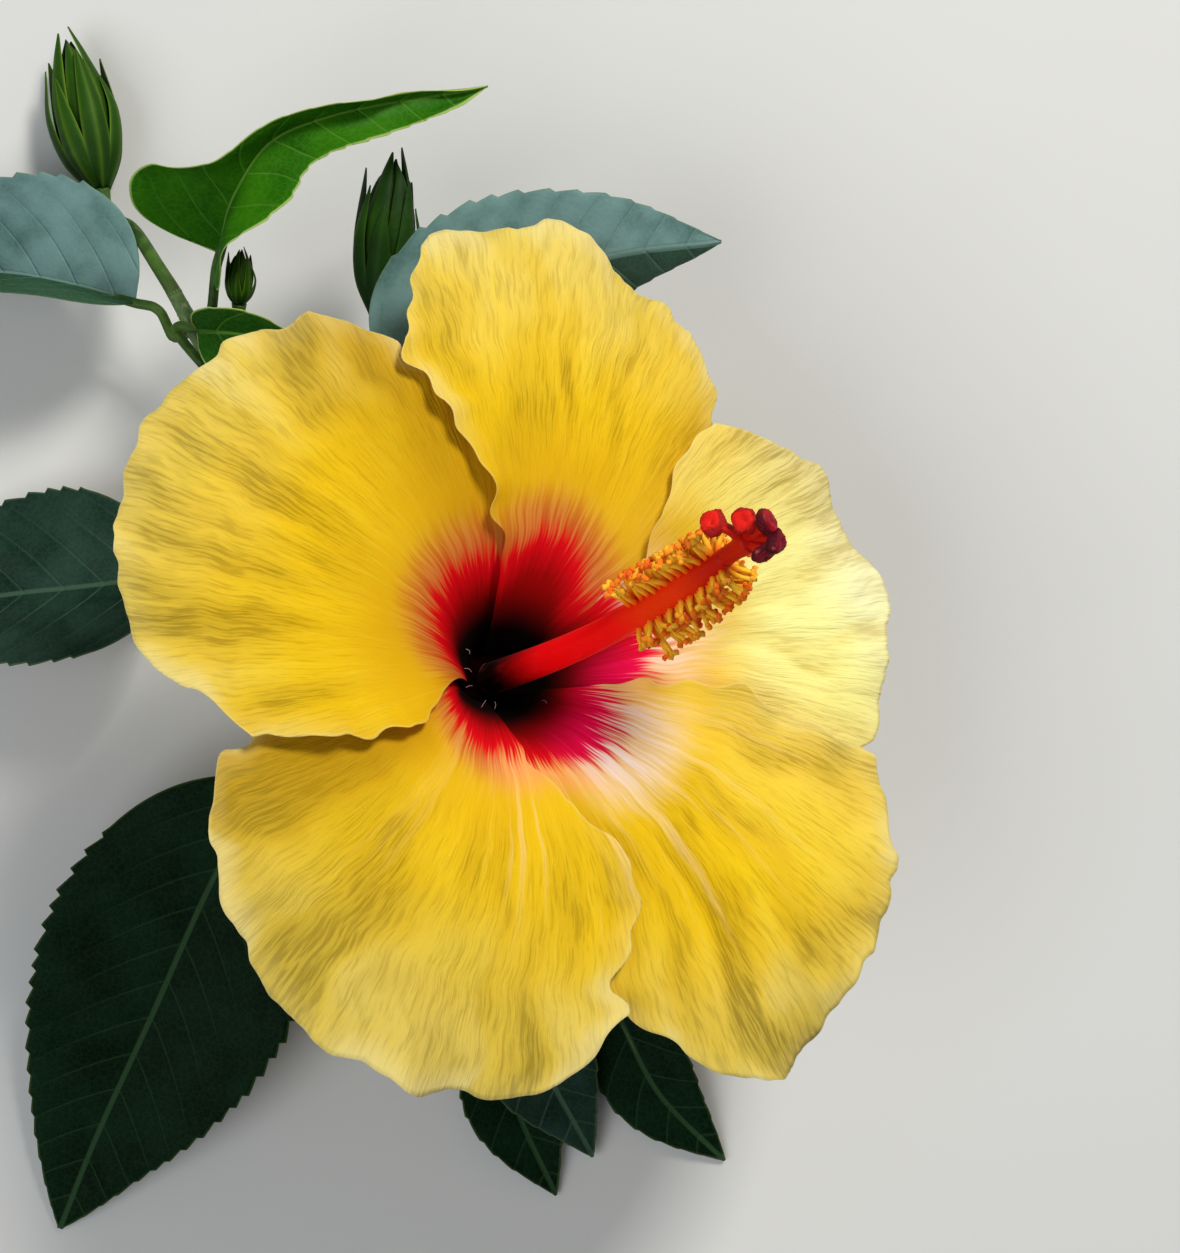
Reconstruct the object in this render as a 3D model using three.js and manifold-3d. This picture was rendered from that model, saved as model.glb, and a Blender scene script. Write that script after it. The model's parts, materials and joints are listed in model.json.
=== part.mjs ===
// A cut flowering branch of hibiscus that lies on a level surface, in millimetres, +Z up.
// One open bloom faces up on its stalk, with buds at the shoot's tip and leaves along the stem.
// The working frame's middle lies about 20 mm beside the bloom's throat; the last lines move the
// whole branch so that its origin is under the middle of its own box.
import * as THREE from 'three';
import { mergeVertices } from 'three/addons/utils/BufferGeometryUtils.js';
import Module from 'manifold-3d';

const wasm = await Module();
wasm.setup();

// Driving dimensions, common to the whole branch
const clearGap = 0.35;
const up = new THREE.Vector3(0, 0, 1);
const radians = THREE.MathUtils.degToRad;

// Driving dimensions of the bloom, about 145 mm across
const bloomBase = new THREE.Vector3(-19, -10.1, 43.6);
const bloomTilt = radians(22);
const bloomLean = radians(35);
const clawRadius = 5.6;
const limbRadius = 78;
const funnelDepth = 36.5;
const funnelFlare = 14;
const edgeRecurve = 3;
const sideDroop = 6;
const droopSide = radians(15);
const waveHeight = 2.2;
const waveCount = 9;
const wavePhase = 0.6;
const petalThickness = 1.0;
const pinwheelLift = 1.1;
const rowCrowding = 1.5;
const petalOverlap = 14;
const seamReach = 60;
const lipShare = 0.18;
const lipStart = 18;
const petalRows = 12;
const petalColumns = 14;

// Driving dimensions of the stem and of the parts on it
const stemRadius = 3.3;
const tipRadius = 1.5;
const stemPath = new THREE.CatmullRomCurve3([
  new THREE.Vector3(-6, -80, 3.4),
  new THREE.Vector3(-18, -50, 4.6),
  new THREE.Vector3(-32, -20, 8),
  new THREE.Vector3(-50, 12, 13),
  new THREE.Vector3(-68, 40, 19),
  new THREE.Vector3(-82, 66, 25),
]);
const stemSides = 10;
const stemSteps = 26;
const nodeSwelling = 0.45;
const nodeWidth = 0.018;
const stemTaper = 0.8;
const leafThickness = 1.05;
const leafRows = 16;
const leafColumns = 4;
const toothDepth = 0.045;
const plainShare = 0.2;
const rollStart = 0.16;
const rollEnd = 0.42;
const usualWidest = 0.33;
const leafFullness = 0.8;
const tipNarrowing = 0.25;
const narrowest = 0.04;
const stalkRadius = 1.0;
const stalkStraight = 3;
const cushionHeight = 0.35;
const cushionFade = 9;
const footStraight = 5;

const surfaces = {
  bark: new THREE.MeshStandardMaterial({ color: 0x5d5a3a, roughness: 0.85, metalness: 0 }),
  stalk: new THREE.MeshStandardMaterial({ color: 0x3f6a25, roughness: 0.6, metalness: 0 }),
  leaf: new THREE.MeshStandardMaterial({ color: 0x1d4a26, roughness: 0.35, metalness: 0 }),
  youngLeaf: new THREE.MeshStandardMaterial({ color: 0x3f8c1e, roughness: 0.45, metalness: 0 }),
  bud: new THREE.MeshStandardMaterial({ color: 0x5c8a33, roughness: 0.55, metalness: 0 }),
  petal: new THREE.MeshStandardMaterial({ color: 0xf2cb2e, roughness: 0.6, metalness: 0 }),
  column: new THREE.MeshStandardMaterial({ color: 0xd8190c, roughness: 0.4, metalness: 0 }),
  stigma: new THREE.MeshStandardMaterial({ color: 0x7c0a12, roughness: 0.8, metalness: 0 }),
};

// Joining closed shapes into one body

function solidOf(geometry) {
  const bare = geometry.clone();
  bare.deleteAttribute('normal');
  bare.deleteAttribute('uv');
  const merged = mergeVertices(bare, 1e-4);
  const corners = merged.index.array;
  const kept = [];
  for (let i = 0; i < corners.length; i += 3) {
    const [a, b, c] = [corners[i], corners[i + 1], corners[i + 2]];
    if (a !== b && b !== c && c !== a) kept.push(a, b, c);
  }
  return new wasm.Manifold(new wasm.Mesh({
    numProp: 3,
    vertProperties: new Float32Array(merged.attributes.position.array),
    triVerts: new Uint32Array(kept),
  }));
}

function joined(geometries) {
  const whole = geometries.map(solidOf).reduce((sum, next) => sum.add(next));
  const mesh = whole.getMesh();
  const geometry = new THREE.BufferGeometry();
  geometry.setAttribute('position', new THREE.BufferAttribute(mesh.vertProperties, 3));
  geometry.setIndex(new THREE.BufferAttribute(mesh.triVerts, 1));
  geometry.computeVertexNormals();
  return geometry;
}

// Shapes that every part is bent from

// A flat box bent into a blade: u runs along it, v across it, and side is 1 above and -1 below.
function bentBlade(rows, columns, place) {
  const geometry = new THREE.BoxGeometry(1, 1, 1, rows, columns, 1);
  const position = geometry.attributes.position;
  for (let i = 0; i < position.count; i += 1) {
    const u = position.getX(i) + 0.5;
    const v = position.getY(i) + 0.5;
    const side = Math.sign(position.getZ(i));
    const point = place(u, v, side);
    position.setXYZ(i, point.x, point.y, point.z);
  }
  geometry.computeVertexNormals();
  return geometry;
}

// A cylinder bent along a path, whose radius changes from end to end
function limb(path, radiusAt, sides, steps) {
  const geometry = new THREE.CylinderGeometry(1, 1, 1, sides, steps);
  const frames = path.computeFrenetFrames(steps, false);
  const centres = path.getSpacedPoints(steps);
  const position = geometry.attributes.position;
  for (let i = 0; i < position.count; i += 1) {
    const share = position.getY(i) + 0.5;
    const step = Math.round(share * steps);
    const radius = radiusAt(share);
    const point = centres[step].clone();
    point.addScaledVector(frames.normals[step], position.getX(i) * radius);
    point.addScaledVector(frames.binormals[step], -position.getZ(i) * radius);
    position.setXYZ(i, point.x, point.y, point.z);
  }
  geometry.computeVertexNormals();
  return geometry;
}

function curveOf(values) {
  return new THREE.SplineCurve(values.map((value, i) => new THREE.Vector2(i, value)));
}

function valueAt(curve, share) {
  return curve.getPoint(THREE.MathUtils.clamp(share, 0, 1)).y;
}

// The corolla: one trumpet surface that the five petals share

const bloomAxis = new THREE.Vector3(
  Math.sin(bloomTilt) * Math.cos(bloomLean),
  Math.sin(bloomTilt) * Math.sin(bloomLean),
  Math.cos(bloomTilt),
);
const bloomTurn = new THREE.Quaternion().setFromUnitVectors(up, bloomAxis);

function inBloom(x, y, z) {
  return new THREE.Vector3(x, y, z).applyQuaternion(bloomTurn).add(bloomBase);
}

function corollaHeight(radius, angle) {
  const out = radius / limbRadius;
  const funnel = funnelDepth * (1 - Math.exp(-(radius - clawRadius) / funnelFlare));
  const facing = Math.max(0, Math.cos(angle - droopSide));
  const droop = sideDroop * facing ** 2 * out ** 2;
  const wave = waveHeight * out ** 3 * Math.sin(waveCount * angle + wavePhase);
  return funnel - edgeRecurve * out ** 4 - droop + wave;
}

function corollaPoint(radius, angle) {
  const height = corollaHeight(radius, angle);
  return new THREE.Vector3(radius * Math.cos(angle), radius * Math.sin(angle), height);
}

function corollaNormal(radius, angle) {
  const step = 0.05;
  const outward = corollaPoint(radius + step, angle).sub(corollaPoint(radius - step, angle));
  const turn = step / radius;
  const around = corollaPoint(radius, angle + turn).sub(corollaPoint(radius, angle - turn));
  return outward.cross(around).normalize();
}

// Petals in their order round the bloom. seam gives the direction of the petal's free edge, in
// degrees, from the claw out to seamReach; reach gives its length from the bloom's axis across
// the petal, from its covered edge to its free edge; lip is how far the free edge turns up.
const petals = [
  { name: 'petal_right', seam: [36, 37, 51, 50], lip: 1.2,
    reach: [46, 60, 67.5, 68, 70.3, 66.8, 67.8, 62.5, 54.5] },
  { name: 'petal_top', seam: [106, 102, 112, 115], lip: 1.8,
    reach: [42, 51, 62, 71, 72, 78.6, 77, 76, 59] },
  { name: 'petal_left', seam: [188, 213, 206, 198], lip: 1.4,
    reach: [44, 57, 70.5, 75, 79, 78, 75, 68, 56] },
  { name: 'petal_lower_left', seam: [258, 275, 290, 281], lip: 1.0,
    reach: [42, 54, 67.5, 73, 78.3, 81.5, 80.3, 78.3, 67] },
  { name: 'petal_lower_right', seam: [334, 348, 346, 343], lip: 3.6,
    reach: [48, 61, 73, 85.5, 87.5, 83, 79.5, 73, 65] },
];
petals.forEach((petal) => {
  petal.seamCurve = curveOf(petal.seam);
  petal.reachCurve = curveOf(petal.reach);
});

function seamAngle(index, radius) {
  const turns = Math.floor(index / petals.length);
  const petal = petals[index - turns * petals.length];
  const share = (radius - clawRadius) / (seamReach - clawRadius);
  return valueAt(petal.seamCurve, share) + 360 * turns;
}

function petalGeometry(index) {
  const petal = petals[index];
  return bentBlade(petalRows, petalColumns, (u, v, side) => {
    const reach = valueAt(petal.reachCurve, v);
    const radius = clawRadius + (reach - clawRadius) * u ** rowCrowding;
    const covered = seamAngle(index - 1, radius) - petalOverlap;
    const free = seamAngle(index, radius);
    const angle = radians(THREE.MathUtils.lerp(covered, free, v));
    const lipRise = Math.max(0, (v - 1 + lipShare) / lipShare) ** 2;
    const lipRamp = THREE.MathUtils.smoothstep(radius, lipStart, 2 * lipStart);
    const lift = pinwheelLift * (2 * v - 1) + petal.lip * lipRise * lipRamp;
    const rise = lift + side * petalThickness / 2;
    return corollaPoint(radius, angle).addScaledVector(corollaNormal(radius, angle), rise);
  });
}

// Calyx: a cup with five pointed lobes that hugs the corolla's funnel

const calyxInset = 2.4;
const calyxWall = 1.1;
const calyxFoot = 2.2;
const calyxBottom = -5.6;
const shoulderRadius = 6.4;
const shoulderHeight = 1.6;
const cupFloor = -0.9;
const lobeCount = 5;
const lobeStart = 9;
const lobeLength = 6.5;
const lobePoint = 1.4;
const calyxSegments = 40;
const calyxSteps = 4;

function funnelOffset(radius, inset) {
  const slope = funnelDepth / funnelFlare * Math.exp(-(radius - clawRadius) / funnelFlare);
  const lean = Math.hypot(slope, 1);
  const height = funnelDepth * (1 - Math.exp(-(radius - clawRadius) / funnelFlare));
  return new THREE.Vector2(radius + inset * slope / lean, height - inset / lean);
}

function calyxProfile(angle) {
  const toLobe = Math.abs(Math.cos(lobeCount / 2 * angle));
  const rim = lobeStart + lobeLength * toLobe ** lobePoint;
  const profile = [new THREE.Vector2(0, calyxBottom), new THREE.Vector2(calyxFoot, calyxBottom)];
  profile.push(new THREE.Vector2(shoulderRadius, calyxBottom + shoulderHeight));
  for (let i = 0; i <= calyxSteps; i += 1) {
    const radius = THREE.MathUtils.lerp(clawRadius, rim, i / calyxSteps);
    profile.push(funnelOffset(radius, calyxInset + calyxWall));
  }
  for (let i = calyxSteps; i >= 0; i -= 1) {
    const radius = THREE.MathUtils.lerp(clawRadius, rim, i / calyxSteps);
    profile.push(funnelOffset(radius, calyxInset));
  }
  profile.push(new THREE.Vector2(clawRadius, cupFloor), new THREE.Vector2(0, cupFloor));
  return profile;
}

function calyxGeometry() {
  const count = calyxProfile(0).length;
  const geometry = new THREE.LatheGeometry(calyxProfile(0), calyxSegments);
  const position = geometry.attributes.position;
  for (let i = 0; i < position.count; i += 1) {
    const turn = (Math.floor(i / count) % calyxSegments) / calyxSegments;
    const angle = 2 * Math.PI * turn;
    const point = calyxProfile(angle)[i % count];
    position.setXYZ(i, point.x * Math.sin(angle), point.y, point.x * Math.cos(angle));
  }
  geometry.rotateX(Math.PI / 2);
  geometry.computeVertexNormals();
  return geometry;
}

// Epicalyx: a small disc under the calyx with seven narrow bracts

const bractCount = 7;
const discThickness = 1.2;
const discRadius = 3.0;
const discSides = 16;
const discTop = calyxBottom - clearGap;
const bractWidth = 2.6;
const bractThickness = 0.7;
const bractRows = 4;
const bractTip = 0.12;
const bractStart = 0.3;
const bractPath = new THREE.CatmullRomCurve3([
  new THREE.Vector3(1.6, 0, discTop - discThickness / 2),
  new THREE.Vector3(6.5, 0, discTop + 0.2),
  new THREE.Vector3(11.4, 0, 1),
  new THREE.Vector3(16.5, 0, 9),
]);

function bractAlong(path, turn, width) {
  return bentBlade(bractRows, 2, (u, v, side) => {
    const point = path.getPointAt(u);
    const ahead = path.getTangentAt(u);
    const across = new THREE.Vector3(0, 1, 0);
    const normal = ahead.clone().cross(across).normalize();
    const bulge = Math.sin(Math.PI * u ** 0.6) ** 0.8;
    const half = width / 2 * THREE.MathUtils.lerp(bractTip, 1, bulge);
    point.addScaledVector(across, (2 * v - 1) * half);
    point.addScaledVector(normal, side * bractThickness / 2);
    return point.applyAxisAngle(up, turn);
  });
}

function epicalyxGeometry() {
  const disc = new THREE.CylinderGeometry(discRadius, discRadius, discThickness, discSides);
  disc.rotateX(Math.PI / 2);
  disc.translate(0, 0, discTop - discThickness / 2);
  const pieces = [disc];
  for (let i = 0; i < bractCount; i += 1) {
    const turn = 2 * Math.PI * (i + bractStart) / bractCount;
    pieces.push(bractAlong(bractPath, turn, bractWidth));
  }
  return joined(pieces);
}

// Staminal column: the red tube from the throat with its stamens, then the style and stigmas

const columnFoot = 0.7;
const columnTip = new THREE.Vector3(29.2, 15.7, 112);
const columnBow = new THREE.Vector3(0.8, -2.2, 0);
const columnRadius = 3.1;
const columnTopRadius = 2.2;
const columnShare = 0.86;
const columnSides = 12;
const columnSteps = 12;
const stamenCount = 26;
const stamenFrom = 0.5;
const stamenTo = 0.84;
const stamenLean = 0.25;
const stamenRoot = 0.8;
const stamenLength = 7.7;
const stamenShortening = 2.2;
const filamentRadius = 0.38;
const flattening = 0.8;
const antherRadius = 1.15;
const columnStart = inBloom(0, 0, columnFoot);
const goldenTurn = Math.PI * (3 - Math.sqrt(5));

// Share of the way from the column's foot to its tip where the style ends and its arms begin
const styleShare = 0.93;

// The column bows a little on its way and is straight again where the style's arms leave it
function columnPoint(share) {
  const bow = Math.sin(Math.PI * Math.min(share / styleShare, 1));
  return columnStart.clone().lerp(columnTip, share).addScaledVector(columnBow, bow);
}

function pathBetween(from, to, steps) {
  const points = [];
  for (let i = 0; i <= steps; i += 1) {
    points.push(columnPoint(THREE.MathUtils.lerp(from, to, i / steps)));
  }
  return new THREE.CatmullRomCurve3(points);
}

function columnGeometry() {
  const path = pathBetween(0, columnShare, columnSteps);
  const width = (share) => THREE.MathUtils.lerp(columnRadius, columnTopRadius, share);
  const axis = columnTip.clone().sub(columnStart).normalize();
  const aside = axis.clone().cross(up).normalize();
  const pieces = [limb(path, width, columnSides, columnSteps)];
  for (let i = 0; i < stamenCount; i += 1) {
    const share = THREE.MathUtils.lerp(stamenFrom, stamenTo, (i + 0.5) / stamenCount);
    const out = aside.clone().applyAxisAngle(axis, i * goldenTurn);
    const ahead = out.clone().addScaledVector(axis, stamenLean).normalize();
    const root = columnPoint(share).addScaledVector(out, stamenRoot);
    const length = stamenLength - stamenShortening * (share - stamenFrom);
    const end = root.clone().addScaledVector(ahead, length);
    const filament = limb(new THREE.LineCurve3(root, end), () => filamentRadius, 3, 1);
    const anther = new THREE.OctahedronGeometry(antherRadius);
    anther.scale(1, 1, flattening);
    anther.translate(end.x, end.y, end.z);
    pieces.push(filament, anther);
  }
  return joined(pieces);
}

// Style: a short club with five arms, each with a stigma pad at its end
const styleRadius = 1.5;
const armRadius = 0.7;
const armSink = 1;
const armRise = 0.8;
const padRadius = 1.9;
const styleGap = 0.5;
const stigmaPads = [
  new THREE.Vector3(20.0, 16.9, 107),
  new THREE.Vector3(25.8, 17.8, 110),
  new THREE.Vector3(29.6, 17.2, 113),
  new THREE.Vector3(31.6, 13.6, 113),
  new THREE.Vector3(28.2, 12.0, 114),
];

function styleGeometry() {
  const axis = columnTip.clone().sub(columnStart).normalize();
  const start = columnPoint(columnShare).addScaledVector(axis, styleGap);
  const fork = columnPoint(styleShare);
  const pieces = [limb(new THREE.LineCurve3(start, fork), () => styleRadius, 8, 2)];
  stigmaPads.forEach((pad) => {
    const root = fork.clone().addScaledVector(axis, -armSink);
    const bend = fork.clone().lerp(pad, 0.5).addScaledVector(axis, armRise);
    const branch = new THREE.QuadraticBezierCurve3(root, bend, pad);
    const button = new THREE.IcosahedronGeometry(padRadius, 1);
    button.scale(1, 1, flattening);
    button.translate(pad.x, pad.y, pad.z);
    pieces.push(limb(branch, () => armRadius, 5, 4), button);
  });
  return joined(pieces);
}

// Stem: tapering from its flat cut to the shoot's tip, a little thicker where stalks leave it

const nodeShares = [0.1, 0.2, 0.28, 0.4, 0.55, 0.62, 0.75, 0.88, 0.95];

function stemWidth(share) {
  const taper = THREE.MathUtils.lerp(stemRadius, tipRadius, share ** stemTaper);
  const swelling = nodeShares.reduce((sum, node) => {
    return sum + nodeSwelling * Math.exp(-(((share - node) / nodeWidth) ** 2));
  }, 0);
  return taper + swelling * taper / stemRadius;
}

function stemGeometry() {
  return limb(stemPath, stemWidth, stemSides, stemSteps);
}

// The path of a stalk: it leaves the stem square to it and clear of it, and goes on through
// the points that it is given.
function stalkPath(share, toward, points) {
  const centre = stemPath.getPointAt(share);
  const ahead = stemPath.getTangentAt(share);
  const out = new THREE.Vector3(...toward);
  out.addScaledVector(ahead, -out.dot(ahead)).normalize();
  const start = centre.clone().addScaledVector(out, stemWidth(share) + clearGap);
  const free = start.clone().addScaledVector(out, stalkStraight);
  return new THREE.CatmullRomCurve3([start, free, ...points]);
}

function stalkWidth(share) {
  return stalkRadius + cushionHeight * Math.exp(-share * cushionFade);
}

// The bloom's own stalk, which meets the disc of the epicalyx from below and widens there
const stalkTop = discTop - discThickness - clearGap;
const bloomStalkRadius = 1.5;
const bloomStalkFlare = 0.8;
const topStraight = 8;
const bloomStalkAt = 0.28;
const bloomStalkToward = [0.1, -0.1, 1];
const bloomStalkBend = new THREE.Vector3(-25.5, -24, 22);

function bloomStalkGeometry() {
  const path = stalkPath(bloomStalkAt, bloomStalkToward, [
    bloomStalkBend,
    inBloom(0, 0, stalkTop - topStraight),
    inBloom(0, 0, stalkTop),
  ]);
  const width = (share) => bloomStalkRadius + bloomStalkFlare * share ** 6;
  return limb(path, width, 8, 14);
}

// Leaves. at and toward say where the stalk leaves the stem; rib is the line of the middle rib
// from the blade's foot to its tip; roll turns the blade about the rib at its foot and tip, and
// fold lifts both halves, in degrees.
const leaves = [
  { name: 'leaf_beside_bud', at: 0.95, toward: [-1, 0.1, -0.4], width: 42, roll: [36, 30], fold: 38,
    rib: [[-90, 64, 22], [-103.3, 68, 19], [-118, 71, 14], [-152, 72, 1.2]] },
  { name: 'leaf_young_folded', at: 0.95, toward: [0.8, 0.5, 1], width: 40, roll: [-30, 40], fold: 42,
    rib: [[-71.5, 72.5, 33], [-67, 81, 45], [-60, 90, 52], [-49, 95, 52], [-19.4, 102.7, 42]],
    widest: 0.24, young: true },
  { name: 'leaf_behind_top_petal', at: 0.62, toward: [1, 0.6, 0.4], width: 40, roll: [25, 25], fold: -25,
    rib: [[-34.8, 43.5, 44], [-22.4, 57.3, 46], [1.3, 69.3, 44], [25.3, 74, 36]] },
  { name: 'leaf_left', at: 0.55, toward: [-1, -0.3, 0.1], width: 42, roll: [26, 26], fold: 20,
    rib: [[-84.8, 10, 14], [-100.7, 8, 13], [-119.5, 6, 10], [-152.2, 0.5, 2]] },
  { name: 'leaf_large_lower', at: 0.4, toward: [-1, -0.6, 0.5], width: 55, roll: [2, 2], fold: 8,
    widest: 0.42,
    rib: [[-62.9, -30.8, 22], [-73.4, -47, 18], [-88.8, -79.4, 12], [-101, -104.8, 6],
      [-109.2, -124, 1.2]] },
  { name: 'leaf_small_upper', at: 0.88, toward: [0.2, -0.4, 1], width: 19, roll: [38, 38], fold: 30,
    rib: [[-76, 57.5, 33], [-65.1, 56, 37], [-50, 51, 37]] },
  { name: 'leaf_under_middle', at: 0.2, toward: [-0.6, -1, 0.9], width: 27, roll: [0, 0], fold: 12,
    rib: [[-20.1, -67.2, 13], [-9.1, -90, 9], [0.6, -109.1, 2]] },
  { name: 'leaf_under_right', at: 0.1, toward: [1, -0.2, 0.6], width: 20, roll: [8, 8], fold: 10,
    rib: [[6, -80, 5], [14, -95.5, 4], [27.8, -110, 1.2]] },
  { name: 'leaf_under_left', at: 0.1, toward: [-1, -0.2, -0.1], width: 21, roll: [-8, -8], fold: 10,
    rib: [[-20, -84.4, 4.4], [-14.3, -101.1, 3.6], [-7, -117.2, 1.2]] },
  { name: 'leaf_covered_right', at: 0.2, toward: [1, 0.3, 0.3], width: 32, roll: [0, 0], fold: 10,
    rib: [[8, -48, 8], [28, -32, 6], [50, -12, 1.2]] },
  { name: 'leaf_covered_upper', at: 0.4, toward: [1, 0.5, 0.3], width: 30, roll: [0, 0], fold: 10,
    rib: [[-14, 6, 14], [2, 22, 15], [20, 36, 10]] },
];

// How wide the blade is along its length: round at the foot, widest a third up, slender tip
function leafShape(u, widest) {
  const bend = Math.log(0.5) / Math.log(widest);
  const belly = Math.sin(Math.PI * u ** bend) ** leafFullness;
  return Math.max(narrowest, belly * (1 - tipNarrowing * u ** 3));
}

function leafBlade(leaf, rib) {
  const fold = radians(leaf.fold);
  const [footRoll, tipRoll] = leaf.roll;
  return bentBlade(leafRows, leafColumns, (u, v, side) => {
    const ahead = rib.getTangentAt(u);
    const across = up.clone().cross(ahead).normalize();
    const turned = THREE.MathUtils.smoothstep(u, rollStart, rollEnd);
    across.applyAxisAngle(ahead, radians(THREE.MathUtils.lerp(footRoll, tipRoll, turned)));
    const normal = ahead.clone().cross(across);
    const tooth = Math.round(u * leafRows) % 2 === 0 ? -toothDepth : toothDepth;
    const toothed = u > plainShare ? 1 + tooth : 1;
    const half = leaf.width / 2 * leafShape(u, leaf.widest ?? usualWidest) * toothed;
    const share = 2 * v - 1;
    const point = rib.getPointAt(u);
    point.addScaledVector(across, share * half * Math.cos(fold));
    point.addScaledVector(normal, Math.abs(share) * half * Math.sin(fold));
    return point.addScaledVector(normal, side * leafThickness / 2);
  });
}

function leafGeometry(leaf) {
  const rib = new THREE.CatmullRomCurve3(leaf.rib.map((point) => new THREE.Vector3(...point)));
  const foot = rib.getPointAt(0);
  const ahead = rib.getTangentAt(0);
  const before = foot.clone().addScaledVector(ahead, -footStraight);
  const stalk = stalkPath(leaf.at, leaf.toward, [before, foot, rib.getPointAt(0.1)]);
  return joined([leafBlade(leaf, rib), limb(stalk, stalkWidth, 6, 8)]);
}

// Buds: a pointed body of closed sepals with narrow bracts standing round it

const budSteps = 8;
const budSides = 10;
const budBracts = 7;
const tallBract = 0.92;
const shortBract = 0.78;
const bractShare = 0.6;
const bractLift = 0.8;

// How wide the closed sepals are along the bud: round at the foot, slender at the tip
function budWidth(share, radius) {
  return radius * Math.sin(Math.PI * Math.max(share, 0.02) ** 0.72) ** 0.85;
}

function budGeometry(length, radius) {
  const profile = [new THREE.Vector2(0, 0)];
  for (let i = 0; i < budSteps; i += 1) {
    const share = i / budSteps;
    profile.push(new THREE.Vector2(budWidth(share, radius), share * length));
  }
  profile.push(new THREE.Vector2(0, length));
  const body = new THREE.LatheGeometry(profile, budSides);
  body.rotateX(Math.PI / 2);
  const pieces = [body];
  for (let i = 0; i < budBracts; i += 1) {
    const tall = length * (i % 2 === 0 ? tallBract : shortBract);
    const path = new THREE.CatmullRomCurve3([
      new THREE.Vector3(0.2 * radius, 0, 0.05 * length),
      new THREE.Vector3(budWidth(0.2, radius) + bractLift, 0, 0.2 * length),
      new THREE.Vector3(budWidth(0.5, radius) + bractLift, 0, 0.5 * length),
      new THREE.Vector3(0.75 * radius, 0, tall),
    ]);
    pieces.push(bractAlong(path, 2 * Math.PI * i / budBracts, bractShare * radius));
  }
  return joined(pieces);
}

// Buds with their stalks: foot and tip are the ends of the bud itself. One stalk carries on from
// the stem's tip, at 1; the others leave the stem like a leaf's.
const budStalkFlare = 0.5;
const tipGap = 0.6;
const buds = [
  { name: 'bud_large', length: 35, radius: 6.2, foot: [-99.1, 88.2, 9.5], tip: [-107.8, 123.3, 6.4],
    at: 1, bends: [[-85, 70.8, 25], [-91.5, 79.5, 17.6]] },
  { name: 'bud_shaded', length: 33, radius: 5.6, foot: [-41.3, 60.1, 30], tip: [-37.1, 93, 35],
    at: 0.75, toward: [0.8, 0.5, 0.6], bends: [[-49, 45, 26]] },
  { name: 'bud_small', length: 12, radius: 2.6, foot: [-67.5, 61.7, 36], tip: [-66.4, 70.9, 41],
    at: 0.88, toward: [0.9, 0.5, -0.1], bends: [[-68, 57.5, 27.4]] },
];

function placedBud(bud) {
  const mesh = new THREE.Mesh(budGeometry(bud.length, bud.radius), surfaces.bud);
  const foot = new THREE.Vector3(...bud.foot);
  const ahead = new THREE.Vector3(...bud.tip).sub(foot).normalize();
  mesh.position.copy(foot);
  mesh.quaternion.setFromUnitVectors(up, ahead);
  mesh.name = bud.name;
  return mesh;
}

function budStalkGeometry(bud) {
  const foot = new THREE.Vector3(...bud.foot);
  const ahead = new THREE.Vector3(...bud.tip).sub(foot).normalize();
  const end = foot.clone().addScaledVector(ahead, -clearGap);
  const before = end.clone().addScaledVector(ahead, -footStraight);
  const bends = bud.bends.map((point) => new THREE.Vector3(...point));
  const width = (share) => stalkRadius + budStalkFlare * share ** 8;
  if (bud.at < 1) {
    return limb(stalkPath(bud.at, bud.toward, [...bends, before, end]), width, 7, 12);
  }
  const start = stemPath.getPointAt(1).addScaledVector(stemPath.getTangentAt(1), tipGap);
  return limb(new THREE.CatmullRomCurve3([start, ...bends, before, end]), width, 7, 14);
}

// The whole branch

function named(name, geometry, material) {
  const mesh = new THREE.Mesh(geometry, material);
  mesh.name = name;
  return mesh;
}

const bloom = new THREE.Group();
bloom.position.copy(bloomBase);
bloom.quaternion.copy(bloomTurn);
petals.forEach((petal, index) => {
  bloom.add(named(petal.name, petalGeometry(index), surfaces.petal));
});
bloom.add(named('calyx', calyxGeometry(), surfaces.bud));
bloom.add(named('epicalyx', epicalyxGeometry(), surfaces.bud));

const branch = new THREE.Group();
branch.add(named('main_stem', stemGeometry(), surfaces.bark));
branch.add(named('bloom_stalk', bloomStalkGeometry(), surfaces.stalk));
branch.add(bloom);
branch.add(named('staminal_column', columnGeometry(), surfaces.column));
branch.add(named('style_and_stigmas', styleGeometry(), surfaces.stigma));
leaves.forEach((leaf) => {
  branch.add(named(leaf.name, leafGeometry(leaf), leaf.young ? surfaces.youngLeaf : surfaces.leaf));
});
buds.forEach((bud) => {
  branch.add(named(`${bud.name}_stalk`, budStalkGeometry(bud), surfaces.stalk));
  branch.add(placedBud(bud));
});

// The origin goes under the middle of the branch, on the surface that it lies on
branch.updateMatrixWorld(true);
const box = new THREE.Box3().setFromObject(branch, true);
branch.position.set(-(box.min.x + box.max.x) / 2, -(box.min.y + box.max.y) / 2, -box.min.z);

export default branch;
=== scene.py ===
# %% [markdown]
# # A cut flowering branch of hibiscus
# The branch lies on a pale floor with its one open bloom facing up. Its solids were made earlier
# and arrive as a fixed frame: every piece below is shaped in the same place and takes over from
# the plain solid that it stands for.

# %% Load the solids
import json
from bisect import bisect_left
from math import cos, degrees, exp, hypot, log, pi, radians, sin, sqrt

import bmesh
import bpy
from mathutils import Matrix, Quaternion, Vector, noise


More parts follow.
